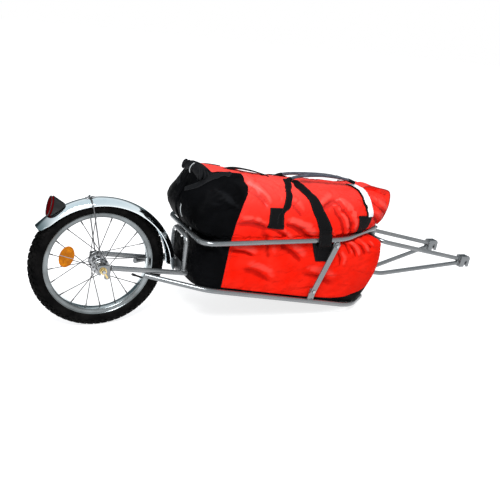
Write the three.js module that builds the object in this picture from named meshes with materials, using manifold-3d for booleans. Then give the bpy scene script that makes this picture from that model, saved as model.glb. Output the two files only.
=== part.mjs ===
// A single-wheel bicycle cargo trailer with its bag, in millimetres.
// Each piece is one named mesh. The chassis frame has its origin on the wheel's axis, X forwards to
// the hitch, Y to the left and Z up, with the hitch seats level with the axis. At the end the chassis
// is tipped nose-down until the tyre and the tray's nose both stand on the ground.
import * as THREE from 'three';
import { mergeVertices } from 'three/addons/utils/BufferGeometryUtils.js';
import Module from 'manifold-3d';

const wasm = await Module();
wasm.setup();

// Fits that every piece shares.
const seatGap = 0.3;
const boreGap = 0.35;
const overrun = 3;

// The wheel: a 16 inch tyre on a steel rim.
const tyreRadius = 203;
const tyreSectionRadius = 23.5;
const tyreWall = 3.5;
const innerTubeSlack = 1.6;
const beadHalf = 12.6;
const rimLipShare = 0.745;
const rimDepth = 13;
const rimWellHalf = 9;
const rimWall = 1.7;
const valveRadius = 3;
const valveLength = 21;
const valveAngle = -24.2;
const valveCapRadius = 4.2;
const valveCapLength = 13;

// The hub and what holds it in the frame.
const axleRadius = 5;
const axleHalf = 80;
const hubBarrelRadius = 13;
const hubFlangeRadius = 26;
const hubFlangePlace = 27;
const hubFlangeThickness = 3;
const hubCupRadius = 18;
const hubHalf = 38;
const hubCupDepth = 9;
const ballRadius = 3;
const ballCircleRadius = 10.5;
const coneRadius = 9;
const coneEnd = 42.5;
const stayEyeRadius = 9;
const nutRadius = 9.8;
const nutThickness = 9;
const tabWasherThickness = 2.2;
const tabWasherRadius = 10.5;

// The spokes, each crossing two others of its side.
const spokeRadius = 1.1;
const spokesPerSide = 10;
const spokeCircleRadius = 22;
const spokeRimPlace = 3.6;
const spokeStart = 2.8;
const nippleRadius = 2.1;
const nippleLength = 12;
const nippleGap = 1;

// The reflector clipped to the spokes of the right side.
const wheelReflectorTall = 66;
const wheelReflectorWide = 42;
const wheelReflectorThickness = 4.5;
const wheelReflectorInset = 49;
const wheelReflectorAngle = 161.5;

// The frame's tubes, and the blades that hold the wheel.
const tubeRadius = 8;
const bladeHalf = 60;
const bladeStart = 24;
const bladeStartHeight = 6.4;
const bladeDip = 6.2;

// The dropouts at the blades' rear ends.
const dropoutThickness = 5;
const dropoutRear = 15;
const dropoutTop = 15;
const dropoutLobeDepth = 29;
const dropoutLobeWidth = 16;
const tabHoleRadius = 2.6;
const tabHoleEdge = 7;

// The tray's lower loop, a bent tube in a plane that slopes down to the nose.
const trayHalf = 158;
const lowerStart = 130;
const lowerSpread = 300;
const lowerSpreadHeight = -38;
const lowerSpreadBend = 120;
const lowerShoulder = 852;
const lowerShoulderBend = 150;
const noseFront = 984;
const lowerNoseHeight = -147.3;
const noseHalf = 46;
const noseBend = 42;

// The tray's upper loop, whose rear bar keeps clear of the mudguard's front.
const upperRearRoom = 21;
const upperRearHeight = 112.4;
const upperRearBend = 42;
const upperShoulder = 775;
const upperShoulderBend = 210;
const upperNoseHeight = 124;

// The hoop that stands on the blades behind the bag, and its bolts to the upper loop.
const hoopBend = 26;
const hoopRailAngle = 45;
const railBoltRadius = 3;
const railBoltPlace = 30;
const railBoltHead = 5.5;
const railBoltHeadThickness = 4;

// The flat struts between the loops, and the tabs that they are bolted to.
const strutWidth = 20;
const strutThickness = 4;
const strutTopPlace = 741;
const strutFootPlace = 676;
const topTabHeight = 22;
const footTabHeight = 39;
const tabWidth = 24;
const tabThickness = 4;
const tabEdge = 9;
const strutBoltRadius = 3;
const strutBoltHead = 6;
const strutBoltHeadThickness = 4;

// The bridge between the blades that the mudguard's front is bolted to.
const bridgeThickness = 3;
const bridgeTop = 16;
const bridgeBottom = -26;
const guardBoltRadius = 2.5;
const guardBoltHead = 5;
const guardBoltHeadThickness = 3;
const guardBoltHeight = -11;
const guardBoltPitch = 19;

// The mudguard, a crowned strip along an arc about a centre in front of and below the axle.
const guardRoom = 37;
const guardCentreX = 3;
const guardCentreZ = -33;
const guardRearAngle = 141;
const guardFrontAngle = 3;
const guardHalf = 30;
const guardDrop = 18;
const guardThickness = 1.2;

// The stay over the mudguard, one wire from one end of the axle to the other.
const stayRadius = 2;
const stayTopPlace = -36;
const clipLength = 26;
const clipHalf = 9;
const clipRivetShare = 0.33;
const clipThickness = 2;

// The tail reflector, a round lens that faces back and a little up, in a housing that tapers
// forwards onto the mudguard.
const tailAngle = 125.72;
const tailRise = 18.66;
const tailLensTilt = 12.7;
const tailLensRadius = 29.5;
const tailLensThickness = 5;
const tailRimRadius = 31.8;
const tailTaperRadius = 18;
const tailLength = 34;

// The steering pivot at the nose.
const pivotPlace = 1008;
const pivotTubeRadius = 14;
const kingpinRadius = 6;
const kingpinHead = 9.5;
const kingpinHeadThickness = 8;
const lugThickness = 5;
const lugHalf = 18;
const lugRear = 10;

// The yoke: a wide upper tube, two lower arms, and the channels that drop over the bicycle's axle.
const hitchPlace = 1414;
const hitchHalf = 92;
const yokeUpperHalf = 90;
const yokeUpperHeight = 87;
const yokeUpperBend = 40;
const armLevel = 9.2;
const armSetBack = 2.2;
const armRootHeight = -66;
const armRootShift = 2.4;
const armSplay = 24;
const armRun = 55;
const armKneeBend = 80;
const channelReach = 23;
const channelHalf = 14;
const channelTop = 22;
const channelBottom = -21;
const channelWall = 3;
const channelRound = 7;
const axleSlotHalf = 6;
const axleSlotTop = 4;
const axleSlotPlace = 5;
const hitchPinRadius = 3;
const hitchPinHeight = -12.5;
const hitchPinHead = 6;
const hitchPinHeadThickness = 3;

// The bag.
const bagRearRoom = 19;
const bagFront = 930;
const bagFillShare = 2.217;
const bagSeam = 0.6;

// How finely curves are divided.
const tubeSides = 10;
const rodSides = 12;
const bendStep = 15;
const wheelSegments = 48;
const hubSegments = 20;

const degree = Math.PI / 180;
const full = 2 * Math.PI;
const half = 0.5;
const sides = [['right', -1], ['left', 1]];
const v3 = (x, y, z) => new THREE.Vector3(x, y, z);

// Finishes.
const finish = (color, roughness, metalness) =>
  new THREE.MeshStandardMaterial({ color, roughness, metalness });
const tubeGrey = finish(0x8c9092, 0.42, 0.6);
const chrome = finish(0xc3ccd0, 0.12, 1);
const steel = finish(0xa4a8aa, 0.32, 1);
const darkSteel = finish(0x2c2e30, 0.45, 0.9);
const zincGold = finish(0xb99a55, 0.35, 1);
const rubber = finish(0x161616, 0.85, 0);
const blackPlastic = finish(0x131314, 0.5, 0);
const amber = finish(0xe08a12, 0.18, 0);
const lensRed = finish(0x8e1216, 0.15, 0);
const bagRed = finish(0xff3c22, 0.5, 0);

function mesh(name, geometry, material) {
  const made = new THREE.Mesh(geometry, material);
  made.name = name;
  return made;
}

// Solids for joining and cutting.
function solid(geometry) {
  const bare = geometry.clone();
  bare.deleteAttribute('normal');
  bare.deleteAttribute('uv');
  const merged = mergeVertices(bare);
  return new wasm.Manifold(new wasm.Mesh({
    numProp: 3,
    vertProperties: merged.attributes.position.array,
    triVerts: new Uint32Array(merged.index.array),
  }));
}

function geometryOf(manifold) {
  const { vertProperties, triVerts } = manifold.getMesh();
  const geometry = new THREE.BufferGeometry();
  geometry.setAttribute('position', new THREE.BufferAttribute(vertProperties, 3));
  geometry.setIndex(new THREE.BufferAttribute(triVerts, 1));
  geometry.computeVertexNormals();
  return geometry;
}

const joined = (...geometries) => geometryOf(geometries.map(solid).reduce((a, b) => a.add(b)));
const cut = (geometry, ...tools) =>
  geometryOf(tools.map(solid).reduce((a, b) => a.subtract(b), solid(geometry)));

// A regular outline about a point, with a corner on the first axis.
const polygon = (radius, count, x = 0, y = 0) => Array.from({ length: count }, (_, i) =>
  new THREE.Vector2(x + radius * Math.cos(full * i / count), y + radius * Math.sin(full * i / count)));

// Points on an arc, as pairs.
const arc = (radius, from, to, steps) => Array.from({ length: steps + 1 }, (_, i) => {
  const angle = from + (to - from) * i / steps;
  return [radius * Math.cos(angle), radius * Math.sin(angle)];
});

// A block between two corners.
function block(from, to) {
  const size = to.clone().sub(from);
  return new THREE.BoxGeometry(...size.toArray())
    .translate(...from.clone().add(to).multiplyScalar(half).toArray());
}

// A round bar between two points, or a taper where it has an end radius.
function rod(from, to, radius, count = rodSides, endRadius = radius) {
  const along = to.clone().sub(from);
  const turn = new THREE.Quaternion().setFromUnitVectors(v3(0, 1, 0), along.clone().normalize());
  return new THREE.CylinderGeometry(endRadius, radius, along.length(), count)
    .applyQuaternion(turn)
    .translate(...from.clone().add(to).multiplyScalar(half).toArray());
}

// A flat plate with its outline in X and Y, from Z = place up.
function levelPlate(outline, thickness, place, holes = []) {
  const shape = new THREE.Shape(outline);
  holes.forEach((hole) => shape.holes.push(new THREE.Path(hole)));
  return new THREE.ExtrudeGeometry(shape, { depth: thickness, bevelEnabled: false })
    .translate(0, 0, place);
}

// A flat plate with its outline in X and Z, from Y = place on.
const uprightPlate = (outline, thickness, place, holes = []) =>
  levelPlate(outline, thickness, 0, holes)
    .rotateX(Math.PI * half)
    .translate(0, place + thickness, 0);

// A washer, nut or collar about the Y axis, outside the place given on its own side.
const collar = (outer, inner, place, thickness, side, count = 16) =>
  uprightPlate(polygon(outer, count), thickness, Math.min(side * place, side * (place + thickness)),
    [polygon(inner, rodSides)]);

// A profile of radius and place along Y, turned about the wheel's axis.
const turned = (profile, count) =>
  new THREE.LatheGeometry(profile.map(([r, y]) => new THREE.Vector2(r, y)), count);

// A centre line with a stop at each end and along each bend, and none on the straights.
class StopLine extends THREE.Curve {
  constructor(stops) {
    super();
    this.stops = stops;
  }

  getPoint(t) {
    const at = Math.min(t, 1) * (this.stops.length - 1);
    const i = Math.min(Math.floor(at), this.stops.length - 2);
    return this.stops[i].clone().lerp(this.stops[i + 1], at - i);
  }

  getPointAt(u) {
    return this.getPoint(u);
  }

  getTangent(t) {
    const last = this.stops.length - 1;
    const i = Math.round(t * last);
    const run = (from) => this.stops[from + 1].clone().sub(this.stops[from]).normalize();
    return run(Math.max(i - 1, 0)).add(run(Math.min(i, last - 1))).normalize();
  }

  getTangentAt(u) {
    return this.getTangent(u);
  }
}

// The stops of a line through the corners, each inner corner rounded to its own radius.
function bentStops(corners, radii) {
  const stops = [corners[0]];
  radii.forEach((radius, i) => {
    const corner = corners[i + 1];
    const back = corners[i].clone().sub(corner).normalize();
    const on = corners[i + 2].clone().sub(corner).normalize();
    const turn = Math.PI - back.angleTo(on);
    const steps = Math.ceil(turn / (bendStep * degree));
    const middle = back.clone().add(on).normalize();
    const centre = corner.clone().addScaledVector(middle, radius / Math.cos(turn * half));
    const first = corner.clone().addScaledVector(back, radius * Math.tan(turn * half)).sub(centre);
    const spin = v3(0, 0, 0).crossVectors(back, on).normalize();
    for (let k = 0; k <= steps; k += 1) {
      stops.push(first.clone().applyAxisAngle(spin, -turn * k / steps).add(centre));
    }
  });
  return [...stops, corners.at(-1)];
}

// A closed section carried along a centre line.
const swept = (section, stops) => new THREE.ExtrudeGeometry(new THREE.Shape(section),
  { extrudePath: new StopLine(stops), steps: stops.length - 1, bevelEnabled: false });
const tube = (corners, radii, radius = tubeRadius, count = tubeSides) =>
  swept(polygon(radius, count), bentStops(corners, radii));

// What follows from the tyre: the rim inside it, the mudguard round it and the tray in front.
const sectionPlace = tyreRadius - tyreSectionRadius;
const rimFlangeRadius = sectionPlace - tyreSectionRadius * rimLipShare;
const rimBedRadius = rimFlangeRadius - rimDepth;
const wheelReflectorRadius = rimBedRadius - wheelReflectorInset;
const guardRadius = tyreRadius + guardRoom;
const guardFront = guardCentreX + guardRadius;
const upperRear = guardFront + upperRearRoom;
const bagRear = guardFront + bagRearRoom;

// Heights of the tray's two planes and of the blades, at a place along X.
const lowerSlope = (lowerNoseHeight - lowerSpreadHeight) / (noseFront - lowerSpread);
const lowerHeight = (x) => lowerSpreadHeight + lowerSlope * (x - lowerSpread);
const upperSlope = (upperNoseHeight - upperRearHeight) / (noseFront - upperRear);
const upperHeight = (x) => upperRearHeight + upperSlope * (x - upperRear);
const bladeSlope = -Math.tan(bladeDip * degree);
const bladeHeight = (x) => bladeStartHeight + bladeSlope * (x - bladeStart);
const touch = 2 * tubeRadius + seatGap;
const hoopPlace = upperRear - touch * Math.cos(hoopRailAngle * degree);
const hoopHeight = upperRearHeight - touch * Math.sin(hoopRailAngle * degree);

// The wheel's pieces, which turn together.
const beadAngle = Math.asin(beadHalf / tyreSectionRadius);
const tyreInside = tyreSectionRadius - tyreWall;
const valveDirection = v3(Math.cos(valveAngle * degree), 0, Math.sin(valveAngle * degree));
const onValve = (radius) => valveDirection.clone().multiplyScalar(radius);
const valveTip = rimBedRadius - rimWall - valveLength;

function tyre() {
  const edge = Math.PI - beadAngle;
  const outside = arc(tyreSectionRadius, -edge, edge, 12);
  const inside = arc(tyreInside, edge, -edge, 8);
  const profile = [...outside, ...inside, outside[0]].map(([r, y]) => [r + sectionPlace, y]);
  return mesh('tyre', turned(profile, wheelSegments), rubber);
}

function innerTube() {
  const section = arc(tyreInside - innerTubeSlack, 0, full, 10).map(([r, y]) => [r + sectionPlace, y]);
  const stem = rod(onValve(sectionPlace), onValve(valveTip), valveRadius, 8);
  return mesh('inner_tube', joined(turned(section, wheelSegments), stem), rubber);
}

function valveCap() {
  const start = valveTip - seatGap;
  return mesh('valve_cap',
    rod(onValve(start), onValve(start - valveCapLength), valveCapRadius, tubeSides), blackPlastic);
}

function rim() {
  const seat = sectionPlace - tyreSectionRadius * Math.cos(beadAngle);
  const seatHalf = beadHalf + seatGap;
  const lipHalf = seatGap
    + Math.sqrt(tyreSectionRadius ** 2 - (sectionPlace - rimFlangeRadius) ** 2);
  const inside = [[rimFlangeRadius, lipHalf], [seat, seatHalf], [rimBedRadius + rimWall, seatHalf],
    [rimBedRadius, rimWellHalf]];
  const outside = [[rimBedRadius - rimWall, rimWellHalf], [rimBedRadius, seatHalf + rimWall],
    [seat, seatHalf + rimWall], [rimFlangeRadius, lipHalf + rimWall]];
  const other = (list) => list.map(([r, y]) => [r, -y]).reverse();
  const profile = [...inside, ...other(inside), ...other(outside), ...outside, inside[0]].reverse();
  const hole = rod(onValve(rimFlangeRadius), onValve(valveTip), valveRadius + boreGap, 8);
  return mesh('rim', cut(turned(profile, wheelSegments), hole), chrome);
}

function hubShell() {
  const inner = hubFlangePlace - hubFlangeThickness * half;
  const outer = hubFlangePlace + hubFlangeThickness * half;
  const bore = axleRadius + ballRadius * half;
  const cup = ballCircleRadius + ballRadius + seatGap;
  const floor = hubHalf - hubCupDepth;
  const right = [[bore, -floor], [cup, -floor], [cup, -hubHalf], [hubCupRadius, -hubHalf],
    [hubCupRadius, -outer], [hubFlangeRadius, -outer], [hubFlangeRadius, -inner],
    [hubBarrelRadius, -inner]];
  const left = right.map(([r, y]) => [r, -y]).reverse();
  return mesh('hub_shell', turned([...right, ...left, right[0]], hubSegments), steel);
}

function ballRing(name, side) {
  const middle = side * (hubHalf - hubCupDepth + ballRadius + seatGap);
  const section = arc(ballRadius, 0, full, 8).map(([r, y]) => [r + ballCircleRadius, y + middle]);
  return mesh(`ball_ring_${name}`, turned(section, hubSegments), steel);
}

// Where the spokes of a side run: from the inner face of the hub's flange to the rim's bed.
const spokeFootPlace = hubFlangePlace - hubFlangeThickness * half - seatGap - spokeRadius;
const spokeTipRadius = rimBedRadius - rimWall - nippleGap;
const spokeSpacing = 360 / spokesPerSide;
const spokeCrossing = 2 * spokeSpacing;

function spokes(name, side) {
  const start = spokeStart + (side > 0 ? spokeSpacing * half : 0);
  const at = (radius, angle, place) =>
    v3(radius * Math.cos(angle * degree), side * place, radius * Math.sin(angle * degree));
  const bars = [];
  for (let i = 0; i < spokesPerSide; i += 1) {
    const angle = start + i * spokeSpacing;
    const swing = i % 2 ? -spokeCrossing : spokeCrossing;
    const foot = at(spokeCircleRadius, angle + swing, spokeFootPlace);
    const tip = at(spokeTipRadius, angle, spokeRimPlace);
    const along = tip.clone().sub(foot).normalize();
    bars.push(rod(foot, tip.clone().addScaledVector(along, -nippleRadius), spokeRadius, 4));
    bars.push(rod(tip.clone().addScaledVector(along, -nippleLength), tip, nippleRadius, 5));
  }
  return mesh(`spokes_${name}`, joined(...bars), steel);
}

// How far out along the axle a spoke's line lies where it passes a radius.
function spokePlace(radius) {
  const foot = new THREE.Vector2(spokeCircleRadius, 0);
  const run = new THREE.Vector2(spokeTipRadius, 0)
    .rotateAround(new THREE.Vector2(0, 0), spokeCrossing * degree).sub(foot);
  const inward = foot.dot(run);
  const rise = radius ** 2 - spokeCircleRadius ** 2;
  const share = (Math.sqrt(inward ** 2 + run.lengthSq() * rise) - inward) / run.lengthSq();
  return spokeFootPlace + share * (spokeRimPlace - spokeFootPlace);
}

function wheelReflector() {
  const outline = polygon(wheelReflectorTall * half, 16);
  outline.forEach((p) => p.setX(p.x * wheelReflectorWide / wheelReflectorTall));
  const near = spokePlace(wheelReflectorRadius - wheelReflectorWide * half);
  const far = spokePlace(wheelReflectorRadius + wheelReflectorWide * half);
  const lean = Math.atan((near - far) / wheelReflectorWide);
  const inner = (near + far) * half + seatGap + spokeRadius / Math.cos(lean);
  const plate = uprightPlate(outline, wheelReflectorThickness, -wheelReflectorThickness)
    .rotateZ(lean)
    .translate(wheelReflectorRadius, -inner, 0)
    .rotateY(-wheelReflectorAngle * degree);
  return mesh('wheel_reflector', plate, amber);
}

// What stays still at the wheel: the axle, its cones and nuts, and the dropouts.
const axleBore = axleRadius + boreGap;
const stayEyeThickness = 2 * stayRadius;
const lockNutStart = coneEnd + seatGap + stayEyeThickness + seatGap;
const dropoutInside = bladeHalf - dropoutThickness * half;
const dropoutOutside = bladeHalf + dropoutThickness * half;
const washerStart = dropoutOutside + seatGap;
const axleNutStart = washerStart + tabWasherThickness + seatGap;
const tabHoleX = axleBore + dropoutLobeWidth * half;
const tabHoleZ = tabHoleEdge - dropoutLobeDepth;

const axle = () => mesh('axle', rod(v3(0, -axleHalf, 0), v3(0, axleHalf, 0), axleRadius), darkSteel);

function cone(name, side) {
  const start = hubHalf - hubCupDepth + seatGap;
  const race = ballCircleRadius - ballRadius - seatGap;
  const raceEnd = start + 2 * ballRadius;
  const profile = [[axleBore, start], [axleBore, coneEnd], [coneRadius, coneEnd],
    [coneRadius, raceEnd + seatGap], [race, raceEnd], [race, start], [axleBore, start]];
  const onSide = side > 0 ? profile.reverse() : profile.map(([r, y]) => [r, -y]);
  return mesh(`axle_cone_${name}`, turned(onSide, hubSegments), darkSteel);
}

const lockNut = (name, side) => mesh(`lock_nut_${name}`,
  collar(nutRadius, axleBore, lockNutStart, dropoutInside - seatGap - lockNutStart, side, 6), zincGold);
const axleNut = (name, side) => mesh(`axle_nut_${name}`,
  collar(nutRadius, axleBore, axleNutStart, nutThickness, side, 6), steel);

function dropout(name, side) {
  const front = bladeStart - seatGap - tubeRadius * Math.sin(bladeDip * degree);
  const lobeEnd = axleBore + dropoutLobeWidth;
  const corner = tabHoleEdge * half;
  const slot = arc(axleBore, Math.PI, 0, 8);
  const outline = [[-axleBore, -dropoutRear], ...slot, [axleBore, corner - dropoutLobeDepth],
    [axleBore + corner, -dropoutLobeDepth], [lobeEnd - corner, -dropoutLobeDepth],
    [lobeEnd, corner - dropoutLobeDepth], [front, -tubeRadius * half], [front, dropoutTop - corner],
    [front - corner, dropoutTop], [corner - dropoutRear, dropoutTop],
    [-dropoutRear, dropoutTop - corner], [-dropoutRear, corner - dropoutRear],
    [corner - dropoutRear, -dropoutRear]].map(([x, z]) => new THREE.Vector2(x, z)).reverse();
  const place = Math.min(side * dropoutInside, side * dropoutOutside);
  return mesh(`dropout_${name}`, uprightPlate(outline, dropoutThickness, place,
    [polygon(tabHoleRadius, 8, tabHoleX, tabHoleZ)]), darkSteel);
}

// A washer with an arm whose end sits in the hole of the dropout's lobe.
function tabWasher(name, side) {
  const start = Math.min(side * washerStart, side * (washerStart + tabWasherThickness));
  const ring = uprightPlate(polygon(tabWasherRadius, 16), tabWasherThickness, start);
  const reach = Math.hypot(tabHoleX, tabHoleZ);
  const arm = uprightPlate([[0, -tabHoleRadius], [reach + tabHoleRadius, -tabHoleRadius],
    [reach + tabHoleRadius, tabHoleRadius], [0, tabHoleRadius]].map(([x, z]) =>
    new THREE.Vector2(x, z)), tabWasherThickness, start)
    .rotateY(Math.atan2(-tabHoleZ, tabHoleX));
  const peg = rod(v3(tabHoleX, side * (washerStart + tabWasherThickness * half), tabHoleZ),
    v3(tabHoleX, side * dropoutInside, tabHoleZ), tabHoleRadius - boreGap, 8);
  const hole = rod(v3(0, side * bladeHalf, 0), v3(0, side * axleHalf, 0), axleBore);
  return mesh(`tab_washer_${name}`, cut(joined(ring, arm, peg), hole), darkSteel);
}

// The frame's tubes.
const blade = (name, side) => mesh(`blade_${name}`,
  rod(v3(bladeStart, side * bladeHalf, bladeHeight(bladeStart)),
    v3(upperRear, side * bladeHalf, bladeHeight(upperRear)), tubeRadius, tubeSides), tubeGrey);

function lowerLoop() {
  const startHeight = bladeHeight(lowerStart) - touch / Math.cos(bladeDip * degree);
  const run = (side) => [v3(lowerStart, side * bladeHalf, startHeight),
    v3(lowerSpread, side * trayHalf, lowerSpreadHeight),
    v3(lowerShoulder, side * trayHalf, lowerHeight(lowerShoulder)),
    v3(noseFront, side * noseHalf, lowerNoseHeight)];
  const bends = [lowerSpreadBend, lowerShoulderBend, noseBend];
  return mesh('lower_loop', tube([...run(-1), ...run(1).reverse()], [...bends, ...bends.reverse()]),
    tubeGrey);
}

// Each side of the upper loop is one bent tube from the rear bar's middle to the nose's middle.
function upperLoop() {
  const [right, left] = sides.map(([, side]) => tube([
    v3(upperRear, -side * overrun, upperRearHeight), v3(upperRear, side * trayHalf, upperRearHeight),
    v3(upperShoulder, side * trayHalf, upperHeight(upperShoulder)),
    v3(noseFront, side * noseHalf, upperNoseHeight), v3(noseFront, -side * overrun, upperNoseHeight),
  ], [upperRearBend, upperShoulderBend, noseBend]));
  return mesh('upper_loop', cut(joined(right, left), ...sides.map(([, side]) => railBore(side))),
    tubeGrey);
}

function rearHoop() {
  const foot = bladeHeight(hoopPlace - tubeRadius) + tubeRadius / Math.cos(bladeDip * degree) + seatGap;
  const corners = [v3(hoopPlace, -bladeHalf, foot), v3(hoopPlace, -bladeHalf, hoopHeight),
    v3(hoopPlace, bladeHalf, hoopHeight), v3(hoopPlace, bladeHalf, foot)];
  return mesh('rear_hoop', cut(tube(corners, [hoopBend, hoopBend]),
    ...sides.map(([, side]) => railBore(side))), tubeGrey);
}

// The bolts through the hoop's top and the loop's rear bar.
const railLine = (side, along) => v3(hoopPlace + along * Math.cos(hoopRailAngle * degree),
  side * railBoltPlace, hoopHeight + along * Math.sin(hoopRailAngle * degree));
const railFar = touch + tubeRadius + seatGap;
const railBore = (side) => rod(railLine(side, -railFar), railLine(side, railFar + tubeRadius),
  railBoltRadius + boreGap);

// A bolt or pin along a line: its grip, a head outside the start and a nut outside the end.
function bolt(name, line, start, end, radius, head, thickness) {
  const middle = thickness * half;
  return mesh(name, joined(rod(line(start - middle), line(end + middle), radius),
    rod(line(start), line(start - thickness), head, 6),
    rod(line(end), line(end + thickness), head, 6)), steel);
}

const railBolt = (name, side) => bolt(`rail_bolt_${name}`, (along) => railLine(side, along),
  -tubeRadius - seatGap, railFar, railBoltRadius, railBoltHead, railBoltHeadThickness);

// The bridge between the blades, just in front of the mudguard, and the two bolts through both.
const bridgePlace = guardFront + seatGap;
const bridgeFront = bridgePlace + bridgeThickness;
const guardBoltHeights = [guardBoltHeight, guardBoltHeight + guardBoltPitch];
const guardBores = () => guardBoltHeights.map((height) =>
  rod(v3(bridgePlace - 2 * tubeRadius, 0, height), v3(bridgeFront + overrun, 0, height),
    guardBoltRadius + boreGap));

function mudguardBridge() {
  const reach = bladeHalf - tubeRadius - seatGap;
  const plate = block(v3(bridgePlace, -reach, bridgeBottom), v3(bridgeFront, reach, bridgeTop));
  return mesh('mudguard_bridge', cut(plate, ...guardBores()), darkSteel);
}

const guardSkin = (height) => guardCentreX - 2 * seatGap
  + Math.sqrt((guardRadius - guardThickness - crownDrop(guardBoltHead)) ** 2
    - (Math.abs(height - guardCentreZ) + guardBoltHead) ** 2);
const guardBolt = (name, height) => bolt(`mudguard_bolt_${name}`, (x) => v3(x, 0, height),
  guardSkin(height), bridgeFront + seatGap, guardBoltRadius, guardBoltHead, guardBoltHeadThickness);

// The mudguard.
const guardCrown = (guardHalf ** 2 + guardDrop ** 2) / (2 * guardDrop);
const crownDrop = (y) => guardCrown - Math.sqrt(guardCrown ** 2 - y ** 2);

function mudguard() {
  const steps = 8;
  const across = (turnBack) => Array.from({ length: steps + 1 }, (_, i) =>
    (turnBack ? 1 - 2 * i / steps : 2 * i / steps - 1));
  const outer = across(true).map((share) => [share * guardHalf, -crownDrop(share * guardHalf)]);
  const inner = across(false).map((share) => {
    const place = share * (guardHalf - guardThickness);
    return [place, -crownDrop(place) - guardThickness];
  });
  const section = [...outer, ...inner].map(([x, y]) => new THREE.Vector2(x, y));
  const line = arc(guardRadius, guardFrontAngle * degree, guardRearAngle * degree, 24)
    .map(([x, z]) => v3(guardCentreX + x, 0, guardCentreZ + z));
  return mesh('mudguard', cut(swept(section, line), ...guardBores()), chrome);
}

// The stay: up from an eye on the axle, over the crown under its clip, and down again.
const stayCrownHeight = guardCentreZ + seatGap + stayRadius
  + Math.sqrt(guardRadius ** 2 - (stayTopPlace - guardCentreX) ** 2);

function mudguardStay() {
  const legHalf = guardCrown + 2 * stayRadius;
  const bend = guardCrown + stayRadius;
  const eyeMiddle = coneEnd + seatGap + stayEyeThickness * half;
  const run = (side) => [v3(0, side * eyeMiddle, (axleBore + stayEyeRadius) * half),
    v3(stayTopPlace, side * legHalf, stayCrownHeight)];
  const wire = tube([...run(-1), ...run(1).reverse()], [bend, bend], stayRadius, 8);
  const eyes = sides.map(([, side]) =>
    collar(stayEyeRadius, axleBore, coneEnd + seatGap, stayEyeThickness, side));
  const clear = rod(v3(0, -axleHalf, 0), v3(0, axleHalf, 0), axleBore);
  return mesh('mudguard_stay', cut(joined(wire, ...eyes), clear), steel);
}

// The clip lies over the stay's wire, riveted to the crown on both sides of it.
function stayClip() {
  const low = guardRadius + seatGap + 2 * stayRadius + seatGap;
  const plate = block(v3(-clipLength * half, -clipHalf, low),
    v3(clipLength * half, clipHalf, low + clipThickness));
  const rivets = [-1, 1].map((end) => {
    const at = (z) => v3(end * clipLength * clipRivetShare, 0, z);
    return rod(at(guardRadius + seatGap), at(low + 2 * clipThickness), clipThickness, 8);
  });
  const lean = Math.atan2(stayTopPlace - guardCentreX, stayCrownHeight - guardCentreZ);
  return mesh('stay_clip', joined(plate, ...rivets).rotateY(lean)
    .translate(guardCentreX, 0, guardCentreZ), steel);
}

// The tail reflector stands on the mudguard's crown.
const guardDisc = () => rod(v3(guardCentreX, -guardHalf, guardCentreZ),
  v3(guardCentreX, guardHalf, guardCentreZ), guardRadius + seatGap, 96);

const tailPlace = guardRadius + tailRise;
const tailLine = (along) => v3(
  guardCentreX + tailPlace * Math.cos(tailAngle * degree) + along * Math.cos(tailLensTilt * degree), 0,
  guardCentreZ + tailPlace * Math.sin(tailAngle * degree) - along * Math.sin(tailLensTilt * degree));

function tailHousing() {
  const start = tailLensThickness + seatGap;
  const cup = rod(tailLine(start), tailLine(start + tailLength), tailRimRadius, hubSegments,
    tailTaperRadius);
  return mesh('tail_reflector_housing', cut(cup, guardDisc()), blackPlastic);
}

function tailLens() {
  const disc = rod(tailLine(0), tailLine(tailLensThickness), tailLensRadius, hubSegments);
  return mesh('tail_reflector_lens', cut(disc, guardDisc()), lensRed);
}

// The struts between the loops. A tab stands square to its tube, the strut lies on its outer face.
const topTilt = Math.atan(upperSlope);
const footTilt = Math.atan(lowerSlope);
const strutTop = v3(strutTopPlace, 0, upperHeight(strutTopPlace)).add(
  v3(0, 0, -tubeRadius - topTabHeight + tabEdge).applyAxisAngle(v3(0, 1, 0), -topTilt));
const strutFoot = v3(strutFootPlace, 0, lowerHeight(strutFootPlace)).add(
  v3(0, 0, tubeRadius + footTabHeight - tabEdge).applyAxisAngle(v3(0, 1, 0), -footTilt));
const boltBore = (point, side) => rod(v3(point.x, side * (trayHalf - tubeRadius), point.z),
  v3(point.x, side * (trayHalf + 2 * tubeRadius), point.z), strutBoltRadius + boreGap);

function strutTab(name, side, place, height, tall, tilt, up, bolt) {
  const near = up * (tubeRadius + seatGap);
  const far = up * (tubeRadius + tall);
  const plate = block(v3(-tabWidth * half, -tabThickness * half, Math.min(near, far)),
    v3(tabWidth * half, tabThickness * half, Math.max(near, far)))
    .rotateY(-tilt)
    .translate(place, side * trayHalf, height);
  return mesh(name, cut(plate, boltBore(bolt, side)), tubeGrey);
}

const strutInside = trayHalf + tabThickness * half + seatGap;

function strut(name, side) {
  const long = strutTop.distanceTo(strutFoot) + strutWidth;
  const bar = block(v3(-strutWidth * half, 0, -long * half),
    v3(strutWidth * half, strutThickness, long * half))
    .rotateY(Math.atan2(strutTop.x - strutFoot.x, strutTop.z - strutFoot.z))
    .translate((strutTop.x + strutFoot.x) * half, Math.min(side * strutInside,
      side * (strutInside + strutThickness)), (strutTop.z + strutFoot.z) * half);
  return mesh(`strut_${name}`, cut(bar, boltBore(strutTop, side), boltBore(strutFoot, side)), tubeGrey);
}

const strutBolt = (name, side, point) => bolt(name, (y) => v3(point.x, side * y, point.z),
  trayHalf - tabThickness * half - seatGap, strutInside + strutThickness + seatGap,
  strutBoltRadius, strutBoltHead, strutBoltHeadThickness);

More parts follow.
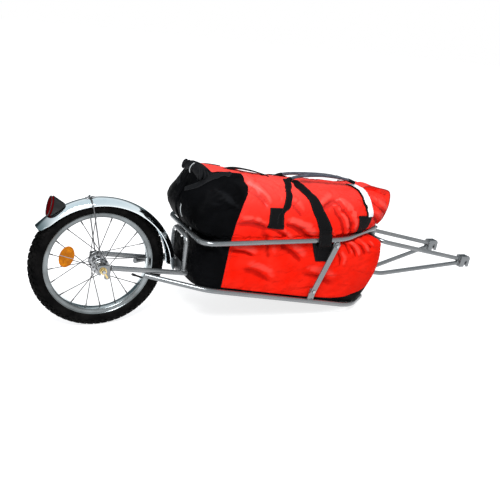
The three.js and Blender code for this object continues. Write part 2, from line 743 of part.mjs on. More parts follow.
// The steering pivot: lugs on both noses, a kingpin through them and its nut.
const upperLugTop = upperNoseHeight - tubeRadius - seatGap;
const upperLugBottom = upperLugTop - lugThickness;
const lowerLugBottom = lowerNoseHeight + tubeRadius + seatGap;
const lowerLugTop = lowerLugBottom + lugThickness;
const kingpinBore = kingpinRadius + boreGap;

function lug(name, place) {
  const nose = arc(lugHalf, -Math.PI * half, Math.PI * half, 8).map(([x, y]) => [pivotPlace + x, y]);
  const outline = [[noseFront - lugRear, lugHalf], [noseFront - lugRear, -lugHalf], ...nose]
    .map(([x, y]) => new THREE.Vector2(x, y));
  return mesh(name, levelPlate(outline, lugThickness, place, [polygon(kingpinBore, rodSides, pivotPlace)]),
    tubeGrey);
}

function kingpin() {
  const at = (z) => v3(pivotPlace, 0, z);
  const headStart = upperLugTop + seatGap;
  const end = lowerLugBottom - seatGap - kingpinHeadThickness;
  return mesh('kingpin', joined(
    rod(at(end), at(headStart + kingpinHeadThickness * half), kingpinRadius),
    rod(at(headStart), at(headStart + kingpinHeadThickness), kingpinHead, 6)), steel);
}

const kingpinNut = () => mesh('kingpin_nut',
  levelPlate(polygon(kingpinHead, 6, pivotPlace), kingpinHeadThickness,
    lowerLugBottom - seatGap - kingpinHeadThickness, [polygon(kingpinBore, rodSides, pivotPlace)]), steel);

// The yoke turns on the kingpin.
const pivotTube = () => mesh('yoke_pivot_tube',
  levelPlate(polygon(pivotTubeRadius, 16, pivotPlace), upperLugBottom - lowerLugTop - 2 * seatGap,
    lowerLugTop + seatGap, [polygon(kingpinBore, rodSides, pivotPlace)]), tubeGrey);

const armEnd = hitchPlace - channelReach - armSetBack;

function yokeUpper() {
  const base = pivotPlace - pivotTubeRadius - seatGap - tubeRadius;
  const run = (side) => [v3(armEnd, side * yokeUpperHalf, armLevel),
    v3(base, side * yokeUpperHalf, yokeUpperHeight)];
  return mesh('yoke_upper_tube',
    tube([...run(-1), ...run(1).reverse()], [yokeUpperBend, yokeUpperBend]), tubeGrey);
}

// A lower arm's root lies square on the pivot tube, shifted sideways to clear the other arm.
function yokeArm(name, side) {
  const on = [Math.cos(armSplay * degree), Math.sin(armSplay * degree)];
  const seat = pivotTubeRadius + seatGap;
  const at = (along) => v3(pivotPlace + on[0] * along - on[1] * armRootShift,
    side * (on[1] * along + on[0] * armRootShift), armRootHeight);
  const end = v3(armEnd, side * yokeUpperHalf, -armLevel);
  return mesh(`yoke_arm_${name}`, tube([at(seat), at(seat + armRun), end], [armKneeBend]), tubeGrey);
}

// A hitch channel: open below, slotted for the bicycle's axle, bored for its locking pin.
function hitchChannel(name, side) {
  const at = (x, y, z) => v3(hitchPlace + x, side * hitchHalf + y, z);
  const flat = (x, z) => new THREE.Vector2(x, z);
  const outline = [flat(-channelReach, channelBottom), flat(channelReach, channelBottom),
    flat(channelReach, channelTop - channelRound), flat(channelReach - channelRound * half,
      channelTop - channelRound * half), flat(channelReach - channelRound, channelTop),
    flat(-channelReach, channelTop)];
  const shell = uprightPlate(outline, 2 * channelHalf, -channelHalf)
    .translate(hitchPlace, side * hitchHalf, 0);
  const inside = block(at(channelWall - channelReach, channelWall - channelHalf, channelBottom - overrun),
    at(channelReach - channelWall, channelHalf - channelWall, channelTop - channelRound - channelWall));
  const slot = block(at(axleSlotPlace - axleSlotHalf, -channelHalf - overrun, channelBottom - overrun),
    at(axleSlotPlace + axleSlotHalf, channelHalf + overrun, axleSlotTop));
  const bore = rod(at(overrun + channelReach, 0, hitchPinHeight),
    at(-channelReach - overrun, 0, hitchPinHeight), hitchPinRadius + boreGap);
  return mesh(`hitch_channel_${name}`, cut(shell, inside, slot, bore), tubeGrey);
}

function hitchPin(name, side) {
  const at = (x) => v3(hitchPlace + x, side * hitchHalf, hitchPinHeight);
  const face = channelReach + seatGap;
  return mesh(`hitch_pin_${name}`, joined(
    rod(at(-channelReach + seatGap), at(face + hitchPinHeadThickness * half), hitchPinRadius),
    rod(at(face), at(face + hitchPinHeadThickness), hitchPinHead)), steel);
}

// The bag, lofted through layers. A layer's row of shares holds the length to its rear, its width at
// the rear, along the sides and at the front corners, the length to where its sides turn in, to its
// front corners and to its front, and the height at the rear, the middle and the front. The filled
// bag's height goes with the tray's depth, so its waist stays between the rails.
const bagLength = bagFront - bagRear;
const bagHalf = trayHalf - tubeRadius - bagSeam;
const bagLayerShares = [
  [0.015, 0.70, 0.87, 0.58, 0.80, 0.93, 0.95, 0.000, -0.170, -0.250],
  [0.005, 0.84, 0.96, 0.74, 0.84, 1.00, 0.985, 0.060, -0.120, -0.195],
  [0.010, 0.88, 0.99, 0.84, 0.87, 1.04, 0.99, 0.170, 0.030, -0.010],
  [0.015, 0.88, 0.99, 0.84, 0.88, 1.05, 0.995, 0.290, 0.190, 0.165],
  [0.020, 0.84, 0.99, 0.80, 0.86, 1.045, 0.99, 0.375, 0.330, 0.290],
  [0.024, 0.80, 0.99, 0.66, 0.78, 1.01, 0.985, 0.410, 0.395, 0.370],
  [0.027, 0.78, 1.00, 0.42, 0.66, 0.95, 0.985, 0.440, 0.465, 0.480],
  [0.028, 0.78, 0.98, 0.44, 0.68, 0.96, 1.00, 0.505, 0.510, 0.530],
  [-0.030, 0.78, 0.98, 0.60, 0.78, 1.02, 1.04, 0.560, 0.550, 0.590],
  [-0.055, 0.76, 0.96, 0.66, 0.82, 1.07, 1.10, 0.730, 0.690, 0.720],
  [-0.020, 0.62, 0.80, 0.56, 0.80, 1.05, 1.10, 0.960, 0.860, 0.850],
  [0.005, 0.42, 0.52, 0.40, 0.78, 1.00, 1.06, 1.070, 0.930, 0.915],
  [0.035, 0.20, 0.26, 0.20, 0.74, 0.90, 0.96, 1.095, 0.950, 0.940],
];
const bagTuckShare = 0.05;
const bagFloor = lowerHeight(bagRear);
const bagHeight = bagFillShare * (upperRearHeight - bagFloor);

// The points of a layer's outline, one for each ray from the bag's middle.
function bagLayer(row, rays) {
  const [rear, rearWide, wide, cornerWide, shoulder, corner, front, ...rise] = row;
  const flat = (along, across) => new THREE.Vector2(bagLength * along, bagHalf * across);
  const side = [flat(rear, rearWide * half), flat(rear + bagTuckShare, wide), flat(shoulder, wide),
    flat(corner, cornerWide), flat(front, cornerWide * half)];
  const outline = [...side, ...side.map(({ x, y }) => new THREE.Vector2(x, -y)).reverse()];
  const middle = flat(half, 0);
  return rays.map((ray) => {
    const reaches = outline.map((from, k) => {
      const edge = outline[(k + 1) % outline.length].clone().sub(from);
      const start = from.clone().sub(middle);
      const along = start.cross(ray) / ray.cross(edge);
      return along >= 0 && along <= 1 ? start.cross(edge) / ray.cross(edge) : 0;
    });
    const { x, y } = ray.clone().multiplyScalar(Math.max(...reaches)).add(middle);
    const t = 2 * x / bagLength - 1;
    const height = rise[1] + t * (rise[2] - rise[0]) * half
      + t * t * ((rise[0] + rise[2]) * half - rise[1]);
    return v3(bagRear + x, y, bagFloor + height * bagHeight);
  });
}

function bag() {
  const around = 32;
  const rays = polygon(1, around).map(({ x, y }) => new THREE.Vector2(x * bagLength, y * 2 * bagHalf));
  const points = bagLayerShares.flatMap((row) => bagLayer(row, rays));
  const last = points.length - around;
  const faces = [];
  for (let j = 0; j < last; j += around) {
    for (let i = 0; i < around; i += 1) {
      const a = j + i;
      const b = j + (i + 1) % around;
      faces.push(a, b, b + around, a, b + around, a + around);
    }
  }
  for (let i = 1; i < around - 1; i += 1) {
    faces.push(0, i + 1, i, last, last + i, last + i + 1);
  }
  const geometry = new THREE.BufferGeometry().setFromPoints(points).setIndex(faces);
  geometry.computeVertexNormals();
  return mesh('cargo_bag', geometry, bagRed);
}

// The wheel stands upright on the ground; the chassis is tipped about its axis.
const wheel = new THREE.Group();
wheel.add(tyre(), innerTube(), rim(), valveCap(), hubShell(), wheelReflector());
sides.forEach(([name, side]) => wheel.add(ballRing(name, side), spokes(name, side)));

const chassis = new THREE.Group();
chassis.add(axle(), lowerLoop(), upperLoop(), rearHoop(), mudguardBridge(), mudguard(), mudguardStay(),
  stayClip(), tailHousing(), tailLens(), lug('upper_lug', upperLugBottom),
  lug('lower_lug', lowerLugBottom), kingpin(), kingpinNut(), pivotTube(), yokeUpper(), bag());
['lower', 'upper'].forEach((name, i) => chassis.add(guardBolt(name, guardBoltHeights[i])));
sides.forEach(([name, side]) => {
  chassis.add(cone(name, side), lockNut(name, side), dropout(name, side), tabWasher(name, side),
    axleNut(name, side), blade(name, side), railBolt(name, side), strut(name, side),
    yokeArm(name, side), hitchChannel(name, side), hitchPin(name, side));
  chassis.add(
    strutTab(`strut_tab_top_${name}`, side, strutTopPlace, upperHeight(strutTopPlace), topTabHeight,
      topTilt, -1, strutTop),
    strutTab(`strut_tab_foot_${name}`, side, strutFootPlace, lowerHeight(strutFootPlace), footTabHeight,
      footTilt, 1, strutFoot),
    strutBolt(`strut_bolt_top_${name}`, side, strutTop),
    strutBolt(`strut_bolt_foot_${name}`, side, strutFoot),
  );
});

// The tip that brings the nose's tube down to the ground with the tyre.
const noseReach = Math.hypot(noseFront, lowerNoseHeight);
const tip = Math.asin((tyreRadius - tubeRadius) / noseReach) - Math.atan2(-lowerNoseHeight, noseFront);
chassis.rotation.y = tip;

// The part's origin is on the ground, below the middle of its length.
const part = new THREE.Group();
part.add(wheel, chassis);
const box = new THREE.Box3().setFromObject(part, true);
part.position.set(-(box.min.x + box.max.x) * half, 0, -box.min.z);

export default part;
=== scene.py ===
# A single-wheel bicycle cargo trailer with its bag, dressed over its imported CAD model.
# Lengths are millimetres in the chassis frame: origin on the wheel's axis, X forwards to the hitch,
# Y to the left, Z up. seat() carries such points to the part's own frame in metres.
import math

import bmesh
import bpy
import numpy as np
from mathutils import Matrix, Vector, noise
from mathutils.bvhtree import BVHTree


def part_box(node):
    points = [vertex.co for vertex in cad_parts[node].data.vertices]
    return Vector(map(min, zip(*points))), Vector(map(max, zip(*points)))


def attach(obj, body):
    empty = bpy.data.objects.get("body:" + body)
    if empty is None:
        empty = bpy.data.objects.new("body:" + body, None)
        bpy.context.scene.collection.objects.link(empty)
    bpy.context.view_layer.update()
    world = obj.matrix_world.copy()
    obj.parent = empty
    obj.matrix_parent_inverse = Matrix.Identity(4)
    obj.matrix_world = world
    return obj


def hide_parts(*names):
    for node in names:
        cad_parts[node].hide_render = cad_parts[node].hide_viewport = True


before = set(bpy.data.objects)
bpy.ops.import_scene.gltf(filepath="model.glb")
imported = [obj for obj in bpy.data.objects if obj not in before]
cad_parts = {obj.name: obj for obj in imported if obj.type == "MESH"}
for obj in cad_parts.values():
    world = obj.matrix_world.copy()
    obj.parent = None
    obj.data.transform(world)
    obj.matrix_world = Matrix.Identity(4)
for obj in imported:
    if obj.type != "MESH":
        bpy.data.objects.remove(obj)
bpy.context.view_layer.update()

# Camera.
# It looks from behind the trailer's right side and a little down, as the photograph does.
def placed(name, data):
    """A new object in the scene."""
    made = bpy.data.objects.new(name, data)
    bpy.context.collection.objects.link(made)
    return made


camera = placed("camera", bpy.data.cameras.new("camera"))
bpy.context.scene.camera = camera
camera.data.lens = 42.7
camera.location = (-0.9848, -1.6696, 0.9058)
camera.rotation_euler = [math.radians(angle) for angle in (69.593, -5.722, -25.573)]
bpy.context.scene.view_settings.view_transform = "Standard"


# Studio.
# A pale floor, a soft world that is lighter overhead, and one broad lamp over the near side. The
# camera sees the background white; polished metal also sees a dark board beyond the trailer.
def join(tree, inputs, given):
    """Sets a node's inputs by identifier, each to a value or to another node's output."""
    for key, value in given.items():
        socket = next(s for s in inputs if s.identifier == key)
        if isinstance(value, Wire):
            tree.links.new(value.socket, socket)
        else:
            socket.default_value = value


class Wire:
    """A shader output that adds, scales and compares like a number; node() adds any other node."""

    def __init__(self, tree, socket=None):
        self.tree = tree
        self.socket = socket

    def node(self, kind, given=None, give=None, **settings):
        made = self.tree.nodes.new(kind if "Node" in kind else "ShaderNode" + kind)
        for name, value in settings.items():
            setattr(made, name, value)
        join(self.tree, made.inputs, given or {})
        outputs = (s for s in made.outputs if give in (None, s.identifier))
        return Wire(self.tree, next(outputs, None))

    def sum(self, operation, a, b):
        return self.node("Math", {"Value": a, "Value_001": b}, operation=operation)

    def __add__(self, other):
        return self.sum("ADD", self, other)

    def __radd__(self, other):
        return self.sum("ADD", other, self)

    def __sub__(self, other):
        return self.sum("SUBTRACT", self, other)

    def __rsub__(self, other):
        return self.sum("SUBTRACT", other, self)

    def __mul__(self, other):
        return self.sum("MULTIPLY", self, other)

    def __rmul__(self, other):
        return self.sum("MULTIPLY", other, self)

    def __truediv__(self, other):
        return self.sum("DIVIDE", self, other)

    def __gt__(self, other):
        return self.sum("GREATER_THAN", self, other)

    def __pow__(self, other):
        return self.sum("POWER", self, other)


def span(wire, low, high, start=0.0, end=1.0, smooth=False):
    """Carries low..high to start..end and holds the ends."""
    return wire.node(
        "MapRange",
        {"Value": wire, "From Min": low, "From Max": high, "To Min": start, "To Max": end},
        interpolation_type="SMOOTHSTEP" if smooth else "LINEAR",
    )


def mix(share, first, second):
    """A colour between two colours."""
    first, second = ((*c, 1) if isinstance(c, tuple) else c for c in (first, second))
    return share.node(
        "Mix", {"Factor_Float": share, "A_Color": first, "B_Color": second}, "Result_Color",
        data_type="RGBA",
    )


def light_path(tree):
    """1 where the camera, a reflection or a view through glass looks, and 0 for plain light."""
    rays = ("Is Camera Ray", "Is Glossy Ray", "Is Transmission Ray")
    return [Wire(tree).node("LightPath", give=ray) for ray in rays]


world = bpy.data.worlds.new("studio")
bpy.context.scene.world = world
world.use_nodes = True
world.node_tree.nodes.clear()
sky_start = Wire(world.node_tree)
up, away = (
    sky_start.node("SeparateXYZ", {"Vector": sky_start.node("TexCoord", give="Generated")}, axis)
    for axis in ("Z", "Y")
)
seen, gloss, glass = light_path(world.node_tree)
sky_light = mix(span(up, -0.1, 0.9, smooth=True), (0.25, 0.26, 0.28), (0.42, 0.44, 0.47))
sky_gloss = mix(span(up, 0.35, 0.98, smooth=True), (1, 1, 1), (0.70, 0.78, 0.82))
flag = span(away, 0.15, 0.55, smooth=True) * (1 - span(up, 0.40, 0.72, smooth=True))
sky_gloss = mix(flag, sky_gloss, (0.07, 0.10, 0.11))
sky = mix(seen, mix(gloss, sky_light, sky_gloss), (1, 1, 1))
sky = mix(glass, sky, (1, 1, 1))
background = sky_start.node("Background", {"Color": sky, "Strength": 1.0})
background.node("OutputWorld", {"Surface": background})

floor = placed("floor", bpy.data.meshes.new("floor"))
reach = 40
corners = [(-reach, -reach, 0), (reach, -reach, 0), (reach, reach, 0), (-reach, reach, 0)]
floor.data.from_pydata(corners, [], [(0, 1, 2, 3)])
paper = bpy.data.materials.new("paper")
paper.use_nodes = True
paper.node_tree.nodes.clear()
paper_start = Wire(paper.node_tree)
seen, gloss, glass = light_path(paper.node_tree)
grain = paper_start.node(
    "TexNoise", {"Vector": paper_start.node("TexCoord", give="Object"), "Scale": 40.0}
)
paper_grey = mix(grain, (0.62, 0.62, 0.62), (0.60, 0.60, 0.60))
matt = paper_start.node("BsdfDiffuse", {"Color": paper_grey})
white_seen = 0.80 * (seen + gloss + glass)
glow = paper_start.node("Emission", {"Color": (1, 1, 1, 1), "Strength": white_seen})
lit = paper_start.node("AddShader", {"Shader": matt, "Shader_001": glow})
lit.node("OutputMaterial", {"Surface": lit})
floor.data.materials.append(paper)

lamp = placed("lamp", bpy.data.lights.new("lamp", "AREA"))
lamp.data.size = 1.5
lamp.data.energy = 140
lamp.location = (-1.2, -2.0, 3.0)
lamp_target = Vector((0.1, 0, 0.25))
lamp.rotation_euler = (lamp_target - lamp.location).to_track_quat("-Z", "Y").to_euler()


# Tray loops.
# Two bent steel tubes of 16 mm in plain grey lacquer: the upper one is closed round the bag, the
# lower one starts under the blades and carries the bag's bottom.
degree = math.pi / 180
tip = 2.788706 * degree
wheel_place = (-617.639, 0, 203)
tube_radius = 8
tray_rear, tray_bend, tray_front = 264, 775, 984
tray_half, nose_half = 158, 46
upper_rear_height, upper_front_height = 112.4, 124
lower_rear, lower_rear_height, lower_front_height = 300, -38, -147.3
blade_half = 60
blade_slope = 6.2 * degree


def seat(points):
    """Carries points of the chassis frame to the part's own frame in metres."""
    x, y, z = np.moveaxis(np.asarray(points, float), -1, 0)
    turned = (x * math.cos(tip) + z * math.sin(tip), y, z * math.cos(tip) - x * math.sin(tip))
    return (np.stack(turned, -1) + wheel_place) / 1000


def quads(rings, around, closed=False):
    """Faces between rings of points, where each ring closes on itself."""
    return [
        (i * around + j, i * around + (j + 1) % around,
         (i + 1) % rings * around + (j + 1) % around, (i + 1) % rings * around + j)
        for i in range(rings if closed else rings - 1)
        for j in range(around)
    ]


def end_faces(rings, around):
    """The two faces that close a run of rings."""
    return [tuple(reversed(range(around))), tuple(range((rings - 1) * around, rings * around))]


def rounded(corners, radii, closed=False, step=5):
    """A line through corners, with the inner ones rounded to their own radii."""
    corners = [Vector(c) for c in corners]
    count = len(corners)
    line = [] if closed else [corners[0]]
    for i, radius in zip(range(count) if closed else range(1, count - 1), radii):
        corner = corners[i]
        back = (corners[i - 1] - corner).normalized()
        on = (corners[(i + 1) % count] - corner).normalized()
        inward = (back + on).normalized()
        turn = math.pi - back.angle(on)
        centre = corner + inward * radius / math.cos(turn / 2)
        first = corner + back * radius * math.tan(turn / 2) - centre
        side = (first - inward * first.dot(inward)).normalized()
        inner = -inward
        steps = max(2, math.ceil(turn / (step * degree)))
        for k in range(steps + 1):
            angle = turn * (k / steps - 0.5)
            line.append(centre + radius * (inner * math.cos(angle) - side * math.sin(angle)))
    return line if closed else line + [corners[-1]]


def carried(section, line, closed=False):
    """Points and faces of a closed section carried along a line without twisting."""
    line = [Vector(p) for p in line]
    count = len(line)
    runs = [(line[(i + 1) % count] - line[i]).normalized() for i in range(count)]
    if not closed:
        runs[-1] = runs[-2]
    ways = [
        (runs[i] + (runs[i - 1] if closed or i else runs[i])).normalized() for i in range(count)
    ]
    side = ways[0].orthogonal().normalized()
    if abs(ways[0].z) < 0.9:
        side = ways[0].cross(Vector((0, 0, 1))).normalized()
    points = []
    for i, (at, way) in enumerate(zip(line, ways)):
        side = (side - way * side.dot(way)).normalized()
        rise = side.cross(way)
        before = runs[i - 1] if closed or i else way
        widen = 1 / max(way.dot(before), 0.5)
        points += [at + side * a * widen + rise * b for a, b in section]
    faces = quads(count, len(section), closed)
    if not closed:
        faces += end_faces(count, len(section))
    return points, faces


def all_round(count):
    """Equally spaced angles of a full turn."""
    return np.linspace(0, 2 * math.pi, count, endpoint=False)


def oval(wide, tall, count):
    """A section's outline, with half its width and half its height."""
    return [(wide * math.cos(a), tall * math.sin(a)) for a in all_round(count)]


def piece(name, points, faces, paint, body, stands_for, slot, crease=40, seated=False):
    """A mesh piece with its finish, riding on a body and standing for CAD nodes."""
    mesh = bpy.data.meshes.new(name)
    mesh.from_pydata((points if seated else seat(points)).tolist(), [], faces)
    return dressed(name, mesh, paint, body, stands_for, crease)


def dressed(name, mesh, paint, body, stands_for, crease):
    """Puts a mesh in the scene with its finish, its body and the CAD nodes that it stands for."""
    tidy = bmesh.new()
    tidy.from_mesh(mesh)
    bmesh.ops.recalc_face_normals(tidy, faces=tidy.faces)
    tidy.to_mesh(mesh)
    tidy.free()
    mesh.shade_smooth()
    mesh.set_sharp_from_angle(angle=crease * degree)
    made = placed(name, mesh)
    mesh.materials.clear()
    mesh.materials.append(paint)
    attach(made, body)
    if stands_for:
        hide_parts(*stands_for)
    return made


def finish(name, look, **constants):
    """A material: look(here) gives what varies, and the constants go on the shader itself."""
    made = bpy.data.materials.new(name)
    made.use_nodes = True
    tree = made.node_tree
    shader = tree.nodes["Principled BSDF"]
    for key, value in constants.items():
        shader.inputs[key.replace("_", " ")].default_value = value
    join(tree, shader.inputs, look(Wire(tree).node("TexCoord", give="Object")))
    return made


def clouds(here, scale, detail=3.0, rough=0.5):
    """Soft noise from 0 to 1 at a place."""
    return here.node(
        "TexNoise", {"Vector": here, "Scale": scale, "Detail": detail, "Roughness": rough}
    )


def bumpy(height, distance, strength):
    """A bumped normal, with the bumps' height in metres."""
    given = {"Height": height, "Distance": distance, "Strength": strength}
    return height.node("Bump", given, "Normal")


def stretched(here, sizes):
    """A place scaled along each axis."""
    return here.node("VectorMath", {"Vector": here, "Vector_001": sizes}, operation="MULTIPLY")


def lacquer_look(here):
    """Grey lacquer with light wear and fine lengthwise scratches."""
    patches = clouds(here, 9.0, 4.0)
    scratches = span(clouds(stretched(here, (30, 400, 400)), 1.0, 5.0, 0.7), 0.62, 0.74)
    colour = mix(span(patches, 0.3, 0.7), (0.165, 0.178, 0.187), (0.225, 0.232, 0.236))
    return {
        "Base Color": mix(scratches * 0.5, colour, (0.46, 0.46, 0.45)),
        "Roughness": span(patches, 0.25, 0.8, 0.20, 0.32) + scratches * 0.1,
        "Normal": bumpy(clouds(here, 900.0, 2.0), 0.00005, 0.5),
    }


lacquer = finish("frame_paint", lacquer_look, Metallic=0.75, Coat_Weight=0.15, Coat_Roughness=0.2)


def pipe(name, line, radius, paint, body, stands_for, slot, closed=False, count=28):
    """A round bar or tube along a line."""
    points, faces = carried(oval(radius, radius, count), line, closed)
    return piece(name, points, faces, paint, body, stands_for, slot)


def tube(name, line, stands_for, body="frame", closed=False):
    """A run of the trailer's own lacquered tube."""
    return pipe(name, line, tube_radius, lacquer, body, [stands_for], "frame_paint", closed)


def upper_height(x):
    """The height of the upper loop's line; the next two do the same for the other tubes."""
    fall = (upper_front_height - upper_rear_height) / (tray_front - tray_rear)
    return upper_rear_height + fall * (x - tray_rear)


def lower_height(x):
    fall = (lower_front_height - lower_rear_height) / (tray_front - lower_rear)
    return lower_rear_height + fall * (x - lower_rear)


def blade_height(x):
    return 6.4 - math.tan(blade_slope) * (x - 24)


upper_side = [(tray_rear, tray_half), (tray_bend, tray_half), (tray_front, nose_half)]
upper_corners = [(x, -y) for x, y in upper_side] + upper_side[::-1]
upper_bends = [42, 210, 42, 42, 210, 42]
upper_line = rounded([(x, y, upper_height(x)) for x, y in upper_corners], upper_bends, True)
tube("upper_loop_tube", upper_line, "upper_loop", closed=True)

lower_start = 130
lower_start_height = blade_height(lower_start) - (2 * tube_radius + 0.3) / math.cos(blade_slope)
lower_bend = 852
lower_side = [
    (lower_start, blade_half, lower_start_height), (lower_rear, tray_half, lower_rear_height),
    (lower_bend, tray_half, lower_height(lower_bend)), (tray_front, nose_half, lower_front_height),
]
lower_corners = [(x, -y, z) for x, y, z in lower_side] + lower_side[::-1]
lower_line = rounded(lower_corners, [120, 150, 42, 42, 150, 120])
tube("lower_loop_tube", lower_line, "lower_loop")

# Blades and rear hoop.
# The blades run back to the wheel on both sides; the hoop is welded on top of them and bolted to
# the upper loop's rear bar.
sides = (("right", -1), ("left", 1))
hoop_place = 252.47
hoop_height = 100.87
for name, side in sides:
    blade_line = [(x, side * blade_half, blade_height(x)) for x in (24, 100, 180, 264)]
    tube(f"blade_tube_{name}", blade_line, f"blade_{name}")

hoop_foot = blade_height(hoop_place - tube_radius) + tube_radius / math.cos(blade_slope) + 0.3
hoop_corners = [
    (hoop_place, y, z) for y, z in ((-blade_half, hoop_foot), (-blade_half, hoop_height),
                                    (blade_half, hoop_height), (blade_half, hoop_foot))
]
tube("rear_hoop_tube", rounded(hoop_corners, [26, 26]), "rear_hoop")


# Weld beads.
# Each is a rippled ring of weld metal round the foot of a tube, under the same lacquer.
def bead(name, centre, way, radius, width, body="frame"):
    """A weld's ring about a tube that runs along a way."""
    way = Vector(way).normalized()
    side = way.orthogonal().normalized()
    other = way.cross(side)
    line = [Vector(centre) + radius * (side * math.cos(a) + other * math.sin(a))
            for a in all_round(72)]
    points, faces = carried(oval(width, width, 8), line, True)
    moved = []
    for k, p in enumerate(points):
        ripple = 0.25 * math.sin(1.9 * (k // 8)) + 0.3 * noise.noise(p / 3)
        moved.append(p + (p - line[k // 8]).normalized() * ripple)
    return piece(name, moved, faces, lacquer, body, (), "frame_paint", 80)


for name, side in sides:
    hoop_end = (hoop_place, side * blade_half, hoop_foot + 0.6)
    bead(f"hoop_weld_{name}", hoop_end, (0, 0, 1), tube_radius + 0.2, 1.8)


# Struts.
# A flat steel bar on each side ties the loops together, bolted at both ends to a tab that is welded
# square to its tube.
def softened(node, paint, body, edge, crease=35):
    """A CAD node's shape with its sharp edges rounded, as a pressed or forged piece has them."""
    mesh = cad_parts[node].data.copy()
    for layer in [a.name for a in mesh.attributes if a.name == "custom_normal"]:
        mesh.attributes.remove(mesh.attributes[layer])
    work = bmesh.new()
    work.from_mesh(mesh)
    bmesh.ops.remove_doubles(work, verts=work.verts, dist=2e-6)
    bmesh.ops.dissolve_limit(work, angle_limit=1.5 * degree, verts=work.verts, edges=work.edges)
    sharp = [e for e in work.edges
             if len(e.link_faces) == 2 and e.calc_face_angle(0) > crease * degree]
    bmesh.ops.bevel(work, geom=sharp, offset=edge / 1000, offset_type="OFFSET", segments=2,
                    profile=0.6, affect="EDGES", clamp_overlap=True)
    work.to_mesh(mesh)
    work.free()
    return dressed(f"{node}_finished", mesh, paint, body, [node], crease)


def zinc_look(here):
    """Dull zinc plating with darker spots."""
    patches = clouds(here, 120.0, 4.0)
    spots = span(clouds(here, 420.0, 2.0), 0.6, 0.75)
    dull = mix(spots, (0.34, 0.35, 0.36), (0.20, 0.205, 0.21))
    return {
        "Base Color": mix(patches, dull, (0.44, 0.45, 0.46)),
        "Roughness": span(patches, 0.2, 0.8, 0.24, 0.42) + spots * 0.1,
        "Normal": bumpy(clouds(here, 1500.0, 2.0), 0.00004, 0.5),
    }


zinc = finish("zinc_plate", zinc_look, Metallic=1.0)
for name, _ in sides:
    softened(f"strut_{name}", lacquer, "frame", 0.7)
    for end in ("top", "foot"):
        softened(f"strut_tab_{end}_{name}", lacquer, "frame", 0.6)
        softened(f"strut_bolt_{end}_{name}", zinc, "frame", 0.5)
    softened(f"rail_bolt_{name}", zinc, "frame", 0.5)
strut_top, strut_foot = 741, 676
tab_half = 7
tab_ends = (("top", strut_top, upper_height(strut_top) - tube_radius - 0.4),
            ("foot", strut_foot, lower_height(strut_foot) + tube_radius + 0.4))
for name, side in sides:
    for end, x, z in tab_ends:
        for edge, shift in (("rear", -tab_half), ("front", tab_half)):
            at = (x + shift, side * tray_half, z)
            bead(f"strut_tab_weld_{end}_{edge}_{name}", at, (0, 0, 1), 3.4, 1.5)


# Tyre.
# A 16 inch knobbly tyre of black rubber, its tread blocks moulded in one with the carcass: a ring
# rule repeats one pitch of blocks round the wheel.
def wheel_seat(points):
    """Carries points about the wheel's axis, which don't tip with the frame, to their place."""
    return (np.asarray(points, float) + wheel_place) / 1000


def swung(profile, steps):
    """Points and faces of a closed profile of radius and Y, swung about the wheel's axis."""
    points = [(r * math.cos(a), y, r * math.sin(a)) for a in all_round(steps) for r, y in profile]
    return points, quads(steps, len(profile), closed=True)


def gathered(shapes):
    """Points and faces of several shapes as one shape."""
    points, faces = [], []
    for more, more_faces in shapes:
        faces += [tuple(len(points) + k for k in face) for face in more_faces]
        points += [tuple(p) for p in more]
    return points, faces


def plain_mesh(points, faces):
    """A mesh still in millimetres."""
    mesh = bpy.data.meshes.new("plain")
    mesh.from_pydata([tuple(p) for p in np.asarray(points).tolist()], [], faces)
    return mesh


def rule(name, sockets, build):
    """A node tree with named inputs that makes one kind of repeated piece."""
    tree = bpy.data.node_groups.new(name, "GeometryNodeTree")
    out = tree.interface.new_socket("Geometry", in_out="OUTPUT", socket_type="NodeSocketGeometry")
    for label, kind in sockets.items():
        tree.interface.new_socket(label, in_out="INPUT", socket_type="NodeSocket" + kind)
    entry = tree.nodes.new("NodeGroupInput")
    made = build(Wire(tree), {s.name: Wire(tree, s) for s in entry.outputs if s.name})
    made = made.node("GeometryNodeRealizeInstances", {"Geometry": made})
    finish_in = next(Wire(tree, s) for s in entry.outputs if s.name == "Finish")
    made = made.node("GeometryNodeSetMaterial", {"Geometry": made, "Material": finish_in})
    made.node("NodeGroupOutput", {out.identifier: made})
    return tree


def grown(tree, values):
    """Runs a rule with values for its named inputs and gives the plain mesh that it makes."""
    carrier = placed("carrier", bpy.data.meshes.new("carrier"))
    run = carrier.modifiers.new("rule", "NODES")
    run.node_group = tree
    for item in tree.interface.items_tree:
        if item.name in values:
            run[item.identifier] = values[item.name]
    evaluated = carrier.evaluated_get(bpy.context.evaluated_depsgraph_get())
    mesh = bpy.data.meshes.new_from_object(evaluated)
    carrier.modifiers.remove(run)
    bpy.data.objects.remove(carrier)
    return mesh


def ring_of_pieces(start, given):
    """Copies of one piece round the wheel's axis, each scattered a little in angle."""
    index = start.node("GeometryNodeInputIndex")
    scatter = start.node(
        "FunctionNodeRandomValue", {"Min_001": -1.0, "Max_001": 1.0, "Seed": given["Seed"]},
        "Value_001", data_type="FLOAT",
    )
    angle = index / given["Count"] * (2 * math.pi) + given["Start"] + scatter * given["Scatter"]
    spots = start.node("GeometryNodePoints", {"Count": given["Count"]})
    item = start.node("GeometryNodeObjectInfo", {"Object": given["Piece"]}, "Geometry")
    turn = start.node("CombineXYZ", {"Y": 0 - angle})
    return start.node(
        "GeometryNodeInstanceOnPoints", {"Points": spots, "Instance": item, "Rotation": turn}
    )


ring_rule = rule(
    "ring_of_pieces",
    {"Piece": "Object", "Count": "Int", "Start": "Float", "Scatter": "Float", "Seed": "Int",
     "Finish": "Material"},
    ring_of_pieces,
)


